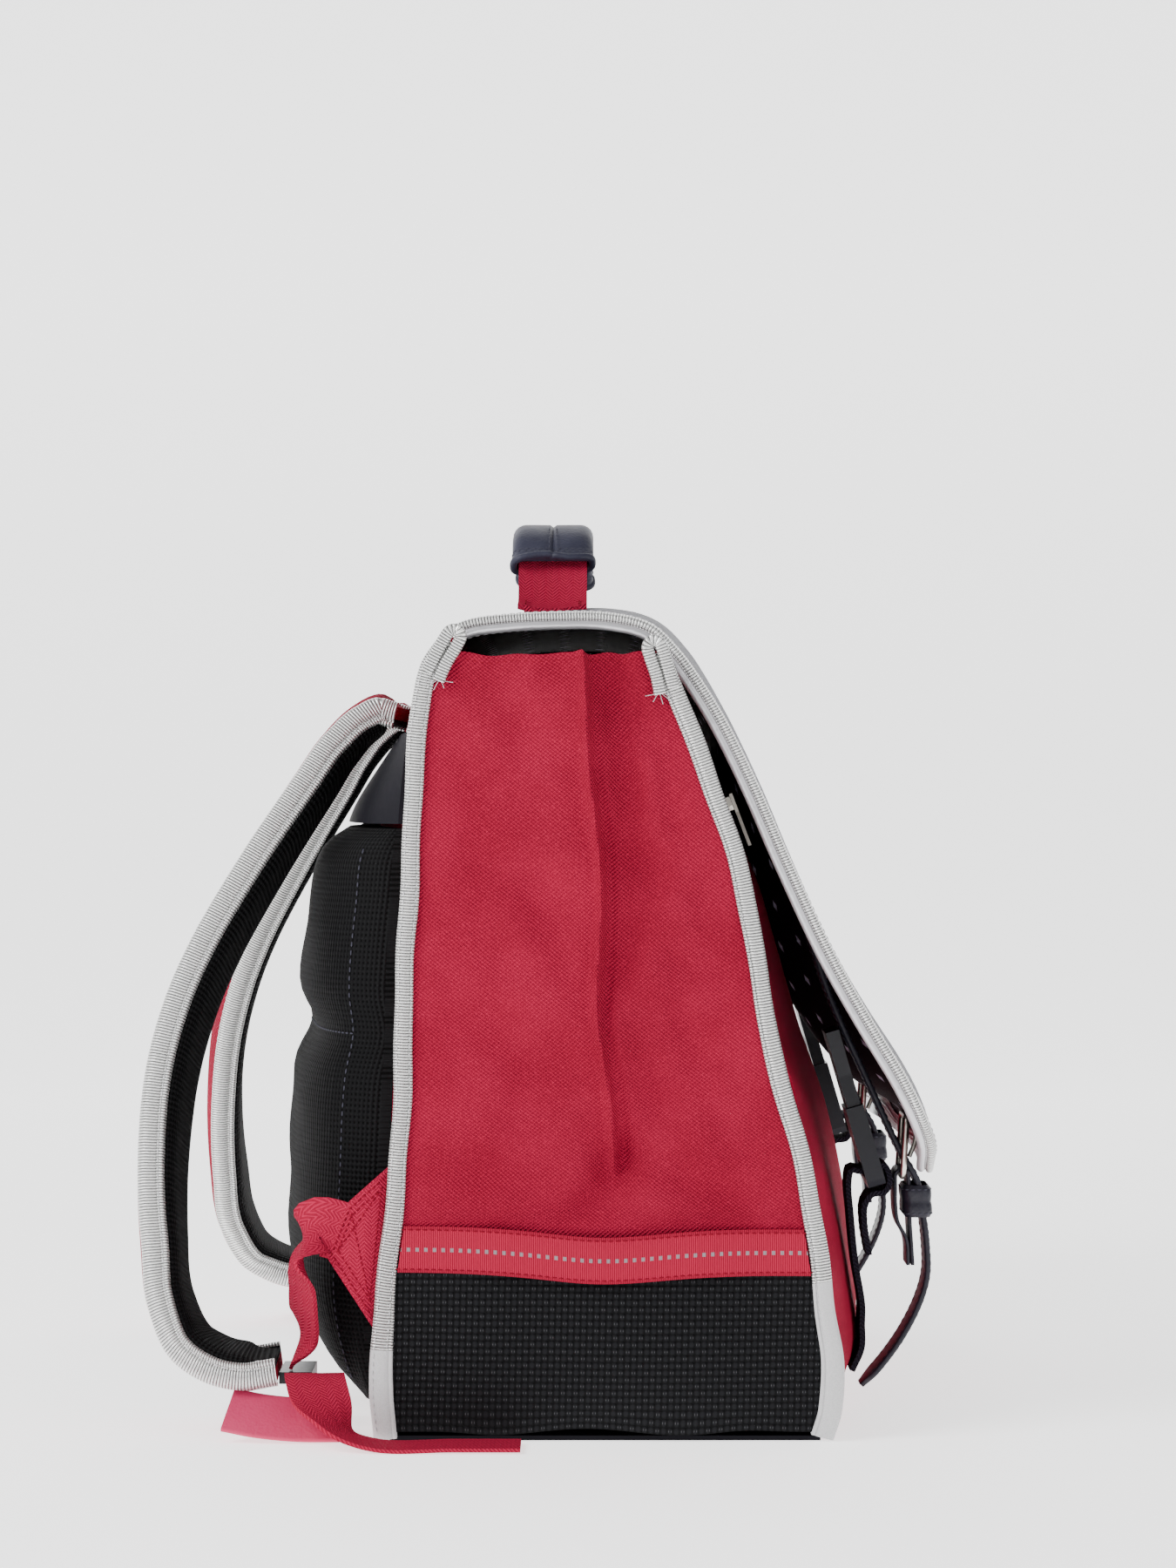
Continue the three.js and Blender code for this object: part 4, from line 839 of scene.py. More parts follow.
def stitch_tree():
    """Geometry Nodes that lay a row of stitches along every edge line of a mesh."""
    name = "ransel_stitches"
    if name in bpy.data.node_groups:
        return bpy.data.node_groups[name]
    tree = bpy.data.node_groups.new(name, "GeometryNodeTree")
    face = tree.interface
    face.new_socket("Geometry", in_out="INPUT", socket_type="NodeSocketGeometry")
    for label in ("Pitch", "Stitch", "Thread"):
        face.new_socket(label, in_out="INPUT", socket_type="NodeSocketFloat")
    face.new_socket("Material", in_out="INPUT", socket_type="NodeSocketMaterial")
    face.new_socket("Geometry", in_out="OUTPUT", socket_type="NodeSocketGeometry")

    def node(kind, settings=None, **sockets):
        made = tree.nodes.new(kind)
        for key, value in (settings or {}).items():
            setattr(made, key, value)
        for key, value in sockets.items():
            if isinstance(value, bpy.types.NodeSocket):
                tree.links.new(value, made.inputs[key])
            else:
                made.inputs[key].default_value = value
        return made

    start = node("NodeGroupInput")
    curve = node("GeometryNodeMeshToCurve", Mesh=start.outputs["Geometry"])
    mode = {"mode": "LENGTH"}
    points = node("GeometryNodeCurveToPoints", mode, Curve=curve.outputs[0], Length=start.outputs["Pitch"])
    turn = node("FunctionNodeAlignRotationToVector", {"axis": "X"}, Vector=points.outputs["Tangent"])
    bead = node("GeometryNodeMeshUVSphere", Segments=6, Rings=5, Radius=0.5)
    stitch, thread = start.outputs["Stitch"], start.outputs["Thread"]
    size = node("ShaderNodeCombineXYZ", X=stitch, Y=thread, Z=thread)
    laid = node(
        "GeometryNodeInstanceOnPoints", Points=points.outputs["Points"], Instance=bead.outputs["Mesh"],
        Rotation=turn.outputs[0], Scale=size.outputs[0])
    real = node("GeometryNodeRealizeInstances", Geometry=laid.outputs[0])
    painted = node("GeometryNodeSetMaterial", Geometry=real.outputs[0], Material=start.outputs["Material"])
    end = node("NodeGroupOutput")
    tree.links.new(painted.outputs[0], end.inputs[0])
    return tree


def stitches(name, lines, thread, seam):
    """Rows of stitches along lines of points, as one plain mesh."""
    points, edges = [], []
    for line in lines:
        base = len(points)
        points += [tuple(p) for p in line]
        edges += [(base + k, base + k + 1) for k in range(len(line) - 1)]
    mesh = bpy.data.meshes.new(name + "_line")
    mesh.from_pydata(points, edges, [])
    obj = bpy.data.objects.new(name, mesh)
    bpy.context.scene.collection.objects.link(obj)
    modifier = obj.modifiers.new("stitches", "NODES")
    tree = stitch_tree()
    modifier.node_group = tree
    sizes = {label: value * MM for label, value in zip(("Pitch", "Stitch", "Thread"), SEAMS[seam])}
    values = {**sizes, "Material": paint(thread)}
    for item in tree.interface.items_tree:
        if item.in_out == "INPUT" and item.name in values:
            modifier[item.identifier] = values[item.name]
    graph = bpy.context.evaluated_depsgraph_get()
    made = bpy.data.meshes.new_from_object(obj.evaluated_get(graph))
    obj.modifiers.clear()
    obj.data = made
    if len(made.polygons) == 0:
        raise RuntimeError(f"{name} has no stitches")
    made.polygons.foreach_set("use_smooth", [True] * len(made.polygons))
    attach(obj, "root")


def row_on(stations, a, b, first=0, last=None):
    """Points of a seam at one place of a section, carried through stations."""
    return [at + across * a + out * b for at, across, out in stations[first:last]]


# Shapes of the bag


def back_y(z):
    body = bpy.context.scene.ransel_body
    return body.depth * read(BACK_EDGE, z / body.back)


def front_y(z):
    body = bpy.context.scene.ransel_body
    return body.depth * read(FRONT_EDGE, z / body.front)


def crease_y(z):
    body = bpy.context.scene.ransel_body
    return body.depth * read(CREASE_LINE, z / body.gusset)


def inner_half():
    body = bpy.context.scene.ransel_body
    return body.width / 2 - body.base_cloth / 2 - 2 * GAP - body.tape_wall


def side_y(z, share):
    """Depth of a column of a side panel: the middle column follows the centre crease."""
    inset = bpy.context.scene.ransel_body.tape_wall + 3 * GAP
    start, end, middle = back_y(z) - inset, front_y(z) + inset, crease_y(z)
    return mix(start, middle, share * 2) if share < 0.5 else mix(middle, end, share * 2 - 1)


def free_span(share):
    """Zero near the bound edges, one across the middle."""
    return ramp(min(share, 1 - share), 0.07, 0.28)


def gusset_relief(z, share):
    """How far the canvas stands out of its plane."""
    body = bpy.context.scene.ransel_body
    low = 0.112
    top = ramp(z, low, body.gusset)
    tent = max(0.0, 1 - abs(share - 0.5) / 0.42) ** 1.5
    out = body.crease * math.sqrt(top) * tent
    off = (share - 0.5) * (back_y(z) - front_y(z))
    wander = off - 0.0012 * math.sin(z * 60) * ramp(z, low, low + 0.05)
    fold = math.exp(-((wander / 0.0019) ** 2)) - 0.35 * math.exp(-(((wander - 0.0052) / 0.0026) ** 2))
    out += body.nip * fold * ramp(z, low - 0.008, low + 0.012)
    out -= 0.0062 * math.exp(-(((off - 0.017) / 0.0125) ** 2)) * ramp(z, 0.15, 0.27)
    pinch = ((z - low - 0.002) / 0.012) ** 2 + ((off - 0.002) / 0.011) ** 2
    out -= 0.004 * math.exp(-pinch)
    up = (z - body.ribbon_z) / (body.gusset - body.ribbon_z)
    for across, height, far, wide, turn, deep in GUSSET_FOLDS:
        angle = math.radians(turn)
        dx, dy = (share - across) * 0.6, up - height
        along = (dx * math.cos(angle) + dy * math.sin(angle)) / far
        beside = (dy * math.cos(angle) - dx * math.sin(angle)) / wide
        out -= 1.9 * deep * MM * math.exp(-along * along - beside * beside)
    ripple = 0.0004 * math.sin(z * 190 + share * 13) + 0.0006 * math.sin(z * 83 - share * 21)
    ripple += 0.0005 * math.sin(share * 37 + z * 44) + 0.0004 * math.sin(share * 29 - z * 120)
    bottom = ramp(z, body.ribbon_z + body.ribbon / 2, body.ribbon_z + body.ribbon)
    hem = 0.0006 * (1 - ramp(body.gusset - z, 0.0022, 0.0032))
    return (out + ripple) * free_span(share) * bottom + hem


def top_edge(share):
    """How far the gusset's top edge stands above its level."""
    dip = -0.0028 * math.exp(-(((share - 0.16) / 0.1) ** 2))
    dip += 0.0014 * math.exp(-(((share - 0.5) / 0.02) ** 2))
    return (dip - 0.0012 * math.sin(share * math.pi) + 0.0005 * math.sin(share * 31)) * free_span(share)


def side_base_relief(z, share):
    up = z / bpy.context.scene.ransel_body.ribbon_z
    belly = 0.0045 * math.sin(math.pi * min(1.0, up * 1.15))
    wave = 0.0012 * math.sin(share * 13 + 0.6) * math.sin(math.pi * min(1.0, up))
    return (belly + wave) * free_span(share)


def levels(low, high, step):
    count = max(2, round((high - low) / step))
    return [mix(low, high, k / count) for k in range(count + 1)]


def build_sides():
    """Gussets, side bases, ribbons and the folded tapes along the side edges."""
    body = bpy.context.scene.ransel_body
    shares = [k / 150 for k in range(151)]
    half = body.width / 2
    for name, sign in SIDES:

        def panel(node, rows, relief, thick, kind, low_wave=0.0, top_wave=0.0):
            def face(outer):
                def point(z, s):
                    drop = low_wave * math.sin(s * 15 + 1.1) * (1 - ramp(z, 0.004, 0.016)) * free_span(s)
                    height = z + drop + top_wave * top_edge(s) * ramp(z, 0.3, body.gusset)
                    return vec(sign * (half + relief(z, s) + outer * thick / 2), side_y(z, s), height)

                return point

            return wall(node + "_cloth", rows, shares, face(1), face(-1), kind)

        rows = levels(body.ribbon_z + GAP / 2, body.gusset, 0.0022)
        gusset = panel(f"gusset_{name}", rows, gusset_relief, body.canvas, "canvas", 0.0, 1.0)
        wide = [abs(side_y(z, 1) - side_y(z, 0)) for z in (body.ribbon_z, body.gusset)]
        rows = levels(0.0042, body.ribbon_z - GAP / 2, 0.0025)
        panel(f"side_base_{name}", rows, side_base_relief, body.base_cloth, "basket", 0.0014)
        build_ribbon(name, sign)
        build_side_bindings(name, sign)
    hem = []
    for name, sign in SIDES:
        z = body.gusset - 0.0029
        skin = half + body.canvas / 2 + 0.0001
        edge = shares[4:-4]
        hem.append([vec(sign * (skin + gusset_relief(z, s)), side_y(z, s), z + top_edge(s)) for s in edge])
    stitches("gusset_hem_stitches", hem, "thread_red", "gusset_hem")


def build_ribbon(name, sign):
    body = bpy.context.scene.ransel_body
    inset = body.tape + 2 * GAP
    inner = body.width / 2 + body.base_cloth / 2 + GAP
    shares = [k / 90 for k in range(91)]

    def sag(s):
        return -0.0038 * math.exp(-(((s - 0.5) / 0.2) ** 2)) + 0.0022 - 0.0015 * s

    def face(lift):
        def point(row, s):
            z = body.ribbon_z + sag(s) + (row - 0.5) * body.ribbon
            edge = 0.25 * body.canvas * (1 - abs(row * 2 - 1) ** 8)
            y = mix(back_y(z) - inset, front_y(z) + inset, s)
            belly = 0.0022 * free_span(s) + 0.0014 * math.exp(-(((s - 0.47) / 0.09) ** 2))
            return vec(sign * (inner + belly + lift + (edge if lift else 0)), y, z)

        return point

    rows = [0, 0.03, 0.08, 0.25, 0.5, 0.75, 0.92, 0.97, 1]
    wall(f"ribbon_{name}_cloth", rows, shares, face(0.001), face(0.0), "ribbon")
    lines = []
    for row in (0.075, 0.925):
        lines.append([face(0.00105)(row, s) for s in shares])
    stitches(f"ribbon_{name}_stitches", lines, "thread_red", "ribbon")


def side_edge_stations(edge, sign, low, high, step, inward):
    body = bpy.context.scene.ransel_body
    out = []
    for z in levels(low, high, step):
        slope = (edge(z + MM) - edge(z - MM)) / (2 * MM)
        tangent = unit(vec(0, slope, 1))
        wander = 0.0004 * math.sin(z * 61 + sign) + 0.00025 * math.sin(z * 143)
        across = vec(0, inward * tangent[2], -inward * tangent[1])
        out.append((vec(sign * body.width / 2, edge(z), z) + across * wander, across, X_AXIS))
    return out


def build_side_bindings(name, sign):
    """Ribbed tape above, smooth film below, as one folded binding, and its stitches."""
    body = bpy.context.scene.ransel_body
    slot = body.base_cloth + 2 * GAP
    edges = (("back", back_y, body.back, -1, 0.04), ("front", front_y, body.front, 1, 0.068))
    for edge_name, edge, top, inward, change in edges:
        stations = side_edge_stations(edge, sign, 0.0006, top - 0.0005, 0.0016, inward)
        count = len(stations)

        def outline(t, width=body.tape, top=top):
            z = t * top
            grow = 1 + 0.25 * (1 - ramp(z, 0.02, 0.09)) + 0.03 * math.sin(z * 90)
            end = 1 - 0.35 * ramp(z, top - 0.006, top)
            ring = tape_outline(width, slot, body.tape_wall)
            return [(a * (grow if a > 0.004 else 1), b * end) for a, b in ring]

        low = [s for s in stations if s[0][2] < change]
        node = f"{edge_name}_binding_{name}"
        split = len(low)
        upper_from = (split - 1) / (count - 1)
        sweep(node + "_ribbed", stations[split - 1 :], lambda t: outline(mix(upper_from, 1, t)), "silver")
        sweep(node + "_film", stations[:split], lambda t: outline(mix(0, upper_from, t)), "film")
        lift = slot / 2 + body.tape_wall + 0.0001
        seam = row_on(stations, body.tape * 0.86, sign * lift, 3, -4)
        rows = [seam]
        if edge_name == "back":
            rows.append(row_on(stations, body.tape * 0.2, sign * lift, 3, -4))
        stitches(node + "_stitches", rows, "thread_white", "side_binding")
        build_tape_loop(node + "_end", stations[-1], sign * (lift + 0.0006))


# Way of the tape's turned end: inward and up, in millimetres.
TAPE_END_LINE = [
    (2.6, -16), (2.5, -6), (2.6, 0.5), (3.4, 4.2), (6.0, 5.6), (8.3, 3.8), (8.6, -1), (8.2, -9), (8.8, -17),
]


def build_tape_loop(name, station, lift):
    """The tape's end, turned over at the bag's top corner and doubled down outside the canvas."""
    at, across, _ = station
    up = unit(np.array([0.0, across[2], -across[1]]))
    if up[2] < 0:
        up = -up
    start = at + X_AXIS * lift
    points = [start + across * a * MM + up * b * MM for a, b in TAPE_END_LINE]
    stations = stations_along(points, 0.0008, lambda t: X_AXIS)
    band = round_outline(0.0026, 0.0052, 0.0011, 4)
    sweep(name, stations, band, "silver", node=None)
    at = stations[-1][0]
    threads = []
    for k in range(5):
        turn = 0.7 * k - 1.4
        down = -up * math.cos(turn) + Y_AXIS * math.sin(turn)
        root = at + Y_AXIS * 0.0011 * (k - 2)
        fall = levels(0.0, 0.004, 0.0005)
        threads.append([root + down * far + X_AXIS * 0.0006 * math.sin(far * 900 + k) for far in fall])
    stitches(name + "_threads", threads, "thread_white", "tape_end")


def back_face(x, z):
    """Outer face of the back board, which bulges between the two bindings."""
    scene = bpy.context.scene
    swell = scene.ransel_back.swell * read(BACK_BULGE, z / scene.ransel_body.back)
    return back_y(z) - scene.ransel_body.board + swell * (1 - (x / inner_half()) ** 2)


def build_back():
    """The back board, the yoke and two padded lobes of mesh."""
    body, back = bpy.context.scene.ransel_body, bpy.context.scene.ransel_back
    half = inner_half()
    xs = [mix(-half, half, k / 60) for k in range(61)]
    top = body.back - 0.001

    def back_outer(z, x):
        return vec(x, back_face(x, z) - 0.002 * ramp(z, top - 0.006, top), z)

    wall("back_panel_cloth", levels(0.0026, top, 0.005), xs, back_outer,
         lambda z, x: back_outer(z, x) - Y_AXIS * body.board, "canvas")
    edge = half - back.pad_margin
    yoke_xs = [mix(-edge, edge, k / 60) for k in range(61)]

    def yoke_face(z, x):
        up = (z - back.yoke_low) / (back.yoke_top - back.yoke_low)
        plump = 0.0012 * (1 - abs(2 * up - 1) ** 3) * (1 - abs(x / edge) ** 12)
        flare = back.flare * max(0.0, 1 - up) ** 1.3 * (1 - abs(x / edge) ** 10)
        return vec(x, back_face(x, z) + GAP + body.board * 0.8 + plump + flare, z)

    wall("back_yoke_cloth", levels(back.yoke_low - 0.004, back.yoke_top, 0.0025), yoke_xs, yoke_face,
         lambda z, x: vec(x, back_face(x, z) + GAP, z), "yoke")
    build_pads(edge)


def build_pads(edge):
    back = bpy.context.scene.ransel_back
    rows = levels(0, 1, 0.02)
    columns = [0, 0.01, 0.03, 0.06, *[0.06 + 0.88 * k / 30 for k in range(1, 30)], 0.94, 0.97, 0.99, 1]
    seams = []
    for name, sign in SIDES:

        def thick(up, share):
            off = abs(2 * share - 1)
            lobe = math.sqrt(max(0.012, 1 - off**3.4))
            tuft = 1 - 0.1 * math.exp(-(((up - 0.64) / 0.035) ** 2)) * (1 - off**2)
            border = 0.0012 * (1 - math.exp(-(((1 - off) / 0.07 - 1) ** 2) * 6))
            ripple = 0.0006 * math.sin(up * 41 + share * 7) * (1 - off)
            return back.pad_thickness * read(PAD_PROFILE, up) * lobe * tuft + border + ripple

        def place(up, share):
            z = mix(back.pad_low, back.pad_top, up)
            x = sign * mix(back.pad_gap / 2, edge, share)
            return x, z

        def outer(up, share):
            x, z = place(up, share)
            return vec(x, back_face(x, z) + GAP + thick(up, share), z)

        def inner(up, share):
            x, z = place(up, share)
            return vec(x, back_face(x, z) + GAP, z)

        pad = wall(f"back_pad_{name}_mesh", rows, columns, outer, inner, "mesh", smooth=80)
        rim = [outer(up, 0.055) for up in levels(0.04, 0.96, 0.01)]
        outer_rim = [outer(up, 0.945) for up in levels(0.04, 0.96, 0.01)]
        cross = [outer(0.64, s) for s in levels(0.06, 0.94, 0.02)]
        seams += [[p + vec(0, 0.0002, 0) for p in line] for line in (rim, outer_rim, cross)]
    stitches("pad_stitches", seams, "thread_dark", "plain")


def front_face(z):
    return front_y(z) + bpy.context.scene.ransel_body.board


def pocket_face(x, z):
    """Outer face of the front pocket."""
    front = bpy.context.scene.ransel_front
    up = (z - front.low) / (front.top - front.low)
    across = max(0.0, 1 - (x / front.half) ** 2)
    return front_face(z) - GAP - 0.002 - front.depth * read(POCKET_PROFILE, up) * across


def build_front():
    """The front panel, its pocket, the zip and the zip's pull."""
    body, front = bpy.context.scene.ransel_body, bpy.context.scene.ransel_front
    half = inner_half()
    xs = [mix(-half, half, k / 40) for k in range(41)]
    wall("front_panel_cloth", levels(0.0026, body.front - 0.006, 0.006), xs,
         lambda z, x: vec(x, front_face(z), z), lambda z, x: vec(x, front_face(z) + 0.0025, z), "canvas")
    pocket_xs = [mix(-front.half, front.half, k / 90) for k in range(91)]

    def pucker(x, z):
        edge = 1 - ramp(front.half - abs(x), 0.0, 0.05)
        return 0.0012 * math.sin(z * 150 + x * 11) * edge + 0.0008 * math.sin(x * 46 + z * 30)

    wall("front_pocket_cloth", levels(front.low, front.top, 0.004), pocket_xs,
         lambda z, x: vec(x, min(pocket_face(x, z) - pucker(x, z), front_face(z) - GAP - 0.0012), z),
         lambda z, x: vec(x, min(pocket_face(x, z) + 0.002, front_face(z) - GAP), z), "canvas")
    low = front.top + GAP
    zip_xs = [mix(-front.half, front.half, k / 60) for k in range(61)]
    wall("pocket_zip_tape", levels(low, low + front.zip_height, 0.0015), zip_xs,
         lambda z, x: vec(x, front_face(z) - GAP - 0.0012, z), lambda z, x: vec(x, front_face(z) - GAP, z),
         "dark_webbing")
    middle = low + front.zip_height / 2
    teeth_xs = levels(-front.half + 0.004, front.half - 0.004, 0.004)
    face = front_face(middle) - GAP - 0.0014
    lines = [[vec(x, face - 0.0003 * side, middle + side * 0.0009) for x in teeth_xs] for side in (-1, 1)]
    stitches("zip_teeth", lines, "metal", "zip_teeth")
    for node in ("zip_slider", "zip_pull"):
        harden(node, "metal", 0.0004)


def harden(node, material, bevel):
    """A hard CAD piece with rounded edges and its own material."""
    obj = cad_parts[node]
    obj.data.materials.clear()
    obj.data.materials.append(paint(material))
    modifier = obj.modifiers.new("rounded", "BEVEL")
    modifier.width = bevel
    modifier.segments = 3
    modifier.limit_method = "ANGLE"
    modifier.angle_limit = math.radians(30)
    return obj


class FlapShape:
    """The flap's middle surface. `s` runs from the back seam to the low edge."""

    def __init__(self):
        scene = bpy.context.scene
        self.size, self.body = scene.ransel_flap, scene.ransel_body
        self.line = Line([vec(0, b * self.body.depth, u * self.body.back) for b, u in FLAP_LINE])
        self.length = self.line.length
        self.stack = self.size.wall + GAP + self.size.lining
        self.slot = self.stack + 7 * GAP

    def point(self, s, x):
        s = min(self.length, max(0.0, s))
        at, tangent = self.line.at(s), self.line.along(s)
        crown = self.size.crown * read(FLAP_DOME, s / self.length) * (1 - (x / self.size.half) ** 2)
        lift = crown - self.size.sag * self.hollow(s, x)
        return vec(x, at[1] + tangent[2] * lift, at[2] - tangent[1] * lift)

    def hollow(self, s, x):
        """Share of the sag at a place on the flap."""
        between = ramp(1 - abs(x / self.size.half) / 0.58, 0, 0.7)
        return read(FLAP_HOLLOW, s / self.length) * between

    def normal(self, s, x):
        step = 0.0005
        s0 = min(s, self.length - step)
        ds = self.point(s0 + step, x) - self.point(s0, x)
        dx = self.point(s, x + step) - self.point(s, x - step)
        return -unit(np.cross(dx, ds))

    def rows(self, count, corner_count):
        """(s, half width) down the flap, ending in rounded corners."""
        corner, half = self.size.corner, self.size.half
        out = [((self.length - corner) * k / count, half) for k in range(count + 1)]
        for k in range(1, corner_count + 1):
            angle = math.pi / 2 * k / corner_count
            out.append((self.length - corner * (1 - math.sin(angle)), half - corner * (1 - math.cos(angle))))
        return out

    def top(self, x, y):
        """Height of the flap's outer face over the top of the bag."""
        low, high = 0.0, self.length * 0.3
        for _ in range(30):
            middle = (low + high) / 2
            if self.point(middle, x)[1] > y:
                low = middle
            else:
                high = middle
        return self.point(low, x)[2] + self.stack / 2


def build_flap():
    """The flap's leather, its printed lining, the folded tape round three sides and the stitches."""
    shape = FlapShape()
    size = shape.size
    rows = shape.rows(110, 12)
    columns = [-1, -0.985, *[-0.97 + 1.94 * k / 50 for k in range(51)], 0.985, 1]

    def sheet(low, high, inset, loose=0.0):
        def face(offset):
            def point(row, c):
                s, half = row
                x = half * c - (math.copysign(inset, c) if abs(c) > 0.96 else 0)
                return shape.point(s, x) + shape.normal(s, x) * (offset - loose * shape.hollow(s, x))

            return point

        return face(high), face(low)

    outer, inner = sheet(shape.stack / 2 - size.wall, shape.stack / 2, 0)
    leather = wall("flap_leather", rows, columns, outer, inner, "leather")
    outer, inner = sheet(-shape.stack / 2, size.lining - shape.stack / 2, 0.004, size.loose)
    lining = wall("flap_lining_cloth", rows, columns, outer, inner, "lining")
    edge = [(s, -half) for s, half in rows]
    last_s, last_half = rows[-1]
    edge += [(last_s, last_half * c) for c in columns[2:-2]]
    edge += [(s, half) for s, half in reversed(rows)]
    points = [shape.point(s, x) for s, x in edge]
    inset = bpy.context.scene.ransel_body.tape_wall + 2 * GAP
    stations = []
    for k, (s, x) in enumerate(edge):
        before, after = points[max(0, k - 1)], points[min(len(points) - 1, k + 1)]
        tangent = unit(after - before)
        out = shape.normal(s, x)
        across = unit(np.cross(out, tangent))
        middle = shape.point(shape.length * (0.8 if s > shape.length * 0.9 else 0.5), 0) - points[k]
        if across.dot(middle) < 0:
            across = -across
        stations.append((points[k] - across * inset, across, out))
    part = 0.08
    section = tape_outline(size.tape, shape.slot, bpy.context.scene.ransel_body.tape_wall, part)
    steps = np.linalg.norm(np.diff(section, axis=0), axis=1)
    def off_groove(k):
        return abs(section[k][1] - part * shape.slot) + (section[k][0] > 0.003)

    groove = min(range(8, len(section) - 2), key=off_groove)
    ribbed_paint("ransel_flap_tape", *SILVER, smooth_from=float(sum(steps[:groove])))
    sweep("flap_binding_tape", stations, section, "flap_tape")
    lift = shape.slot / 2 + bpy.context.scene.ransel_body.tape_wall + 0.0001
    lines = [row_on(stations, size.tape * 0.86, side * lift, 2, -2) for side in (-1, 1)]
    stitches("flap_binding_stitches", lines, "thread_white", "flap_binding")
    inner_lip = []
    for at, across, out in stations:
        inner_lip.append((at + across * (size.tape + 0.0004) - out * (shape.stack / 2 + 0.0007), across, out))
    sweep("flap_inner_band", inner_lip, round_outline(0.0046, 0.0006, 0.00027, 2), "film", node=None)
    seam = row_on(inner_lip, 0.0013, -0.0004, 2, -2)
    stitches("flap_band_stitches", [seam], "thread_white", "flap_band")


def handle_stations(shape, step):
    handle = bpy.context.scene.ransel_handle

    def seat(x):
        return shape.top(x, handle.y) + GAP * 4.6 + handle.wall / 2

    foot = handle.foot
    top = shape.top(0, handle.y) + handle.rise
    feet = ((1, 0), (0.8846, 0), (0.7885, 0.0758))
    bow = ((0.7019, 0.5455), (0.5769, 0.1515), (0.3077, 0.0152))
    half = [(foot * a, seat(foot * a) + up * handle.rise) for a, up in feet]
    half += [(foot * a, top - down * handle.rise) for a, down in bow]
    points = [vec(-x, handle.y, z) for x, z in half] + [vec(0, handle.y, top)]
    points += [vec(x, handle.y, z) for x, z in reversed(half)]
    return stations_along(points, step, lambda t: Y_AXIS)


def build_handle():
    """Webbing sewn to the flap, through a padded leather sleeve with folded lips at its ends."""
    handle = bpy.context.scene.ransel_handle
    stations = handle_stations(FlapShape(), 0.0015)
    count = len(stations)

    flat_band = cupped_outline(handle.webbing, handle.wall)
    sagging = [(a, b - 0.0022 * (1 - (2 * a / handle.webbing) ** 2)) for a, b in flat_band]
    sweep("handle_webbing_band", stations, sagging, "webbing")
    top = max(at[2] for at, _, _ in stations)
    low = next(k for k, (at, _, _) in enumerate(stations) if at[2] > top - 0.0135)
    grip = stations[low : count - low]

    def with_seam(ring, height):
        """The outline with close points across the middle of its outer face."""
        middle = [(handle.grip * q, height) for q in (0.2, 0.04, 0.02, 0.0, -0.02, -0.04, -0.2)]
        return [*ring[:12], *middle, *ring[12:]]

    def outer(t):
        end = min(t, 1 - t)
        plump = 1 - 0.3 * (1 - ramp(end, 0.02, 0.2)) + 0.16 * (1 - ramp(end, 0.0, 0.035))
        ring = with_seam(round_outline(handle.grip, handle.grip_wall, 0.0058, 5), handle.grip_wall / 2)
        def groove(a):
            return 0.0012 * math.exp(-((a / 0.0009) ** 2))

        return [(a, b * plump + 0.0008 - (groove(a) if b > 0 else 0)) for a, b in ring]

    inside = handle.wall + 0.003
    inner = with_seam(round_outline(handle.webbing + 0.002, inside, 0.0012, 5), inside / 2)
    pad = sleeve("handle_grip_leather", grip, outer, inner, "leather")
    for k, place in enumerate((0, len(grip) - 1)):
        at, across, out = grip[place]
        tangent = np.cross(across, out)
        ring = outer(0.0) + outer(0.0)[:1]
        wave = [0.0011 * math.sin(a * 240 + b * 90) for a, b in ring]
        loop = [at + across * a * 0.97 + out * b * 0.9 + tangent * w for (a, b), w in zip(ring, wave)]
        rim = ring_along(loop, 0.0012)
        lip = round_outline(0.0034, 0.0032, 0.0014, 3)
        sweep(f"handle_lip_{k}", rim, lip, "leather", closed=True, node=None)
    face = handle.grip_wall / 2 + 0.0006
    seams = [row_on(grip, a, face * 0.93, 3, -3) for a in (-0.0016, 0.0016)]
    for depth in (2, 3):
        for place in (depth, len(grip) - 1 - depth):
            at, across, out = grip[place]
            t = place / (len(grip) - 1)
            seams.append([at + across * a + out * b for a, b in outer(t) + outer(t)[:1]])
    stitches("handle_stitches", seams, "thread_dark", "handle")
    box = []
    for sign in (-1, 1):
        foot = stations[:14] if sign < 0 else stations[-14:]
        for a in (-0.012, 0.012):
            box.append([at + across * a + out * (handle.wall / 2 + 0.0001) for at, across, out in foot])
    stitches("handle_foot_stitches", box, "thread_red", "plain")


def cupped_outline(w, h, fine=10):
    """A band with points across its faces, so that it can cup."""
    top = [(w / 2 - w * k / fine, h / 2) for k in range(fine + 1)]
    low = [(-w / 2 + w * k / fine, -h / 2) for k in range(fine + 1)]
    return low + top


def ring_along(loop, step):
    """Stations round a closed loop of points."""
    middle = np.mean(loop[:-1], axis=0)
    dense = []
    for a, b in zip(loop[:-1], loop[1:]):
        count = max(1, round(np.linalg.norm(b - a) / step))
        dense += [mix(a, b, k / count) for k in range(count)]
    out = []
    for k, at in enumerate(dense):
        tangent = unit(dense[(k + 1) % len(dense)] - dense[k - 1])
        across = at - middle
        across = unit(across - tangent * across.dot(tangent))
        out.append((at, across, np.cross(tangent, across)))
    return out


def strap_stations(sign, step):
    straps = bpy.context.scene.ransel_straps
    points = []
    for down, out in STRAP_LINE:
        x = sign * (straps.root_x + straps.splay * down)
        points.append(vec(x, straps.root_y + straps.reach * out, straps.root_z - straps.drop * down))

    def side(t):
        return vec(sign, 0.14 * math.sin(math.pi * min(1.0, t * 1.3)), 0)

    return turned(stations_along(points, step, side), -sign)


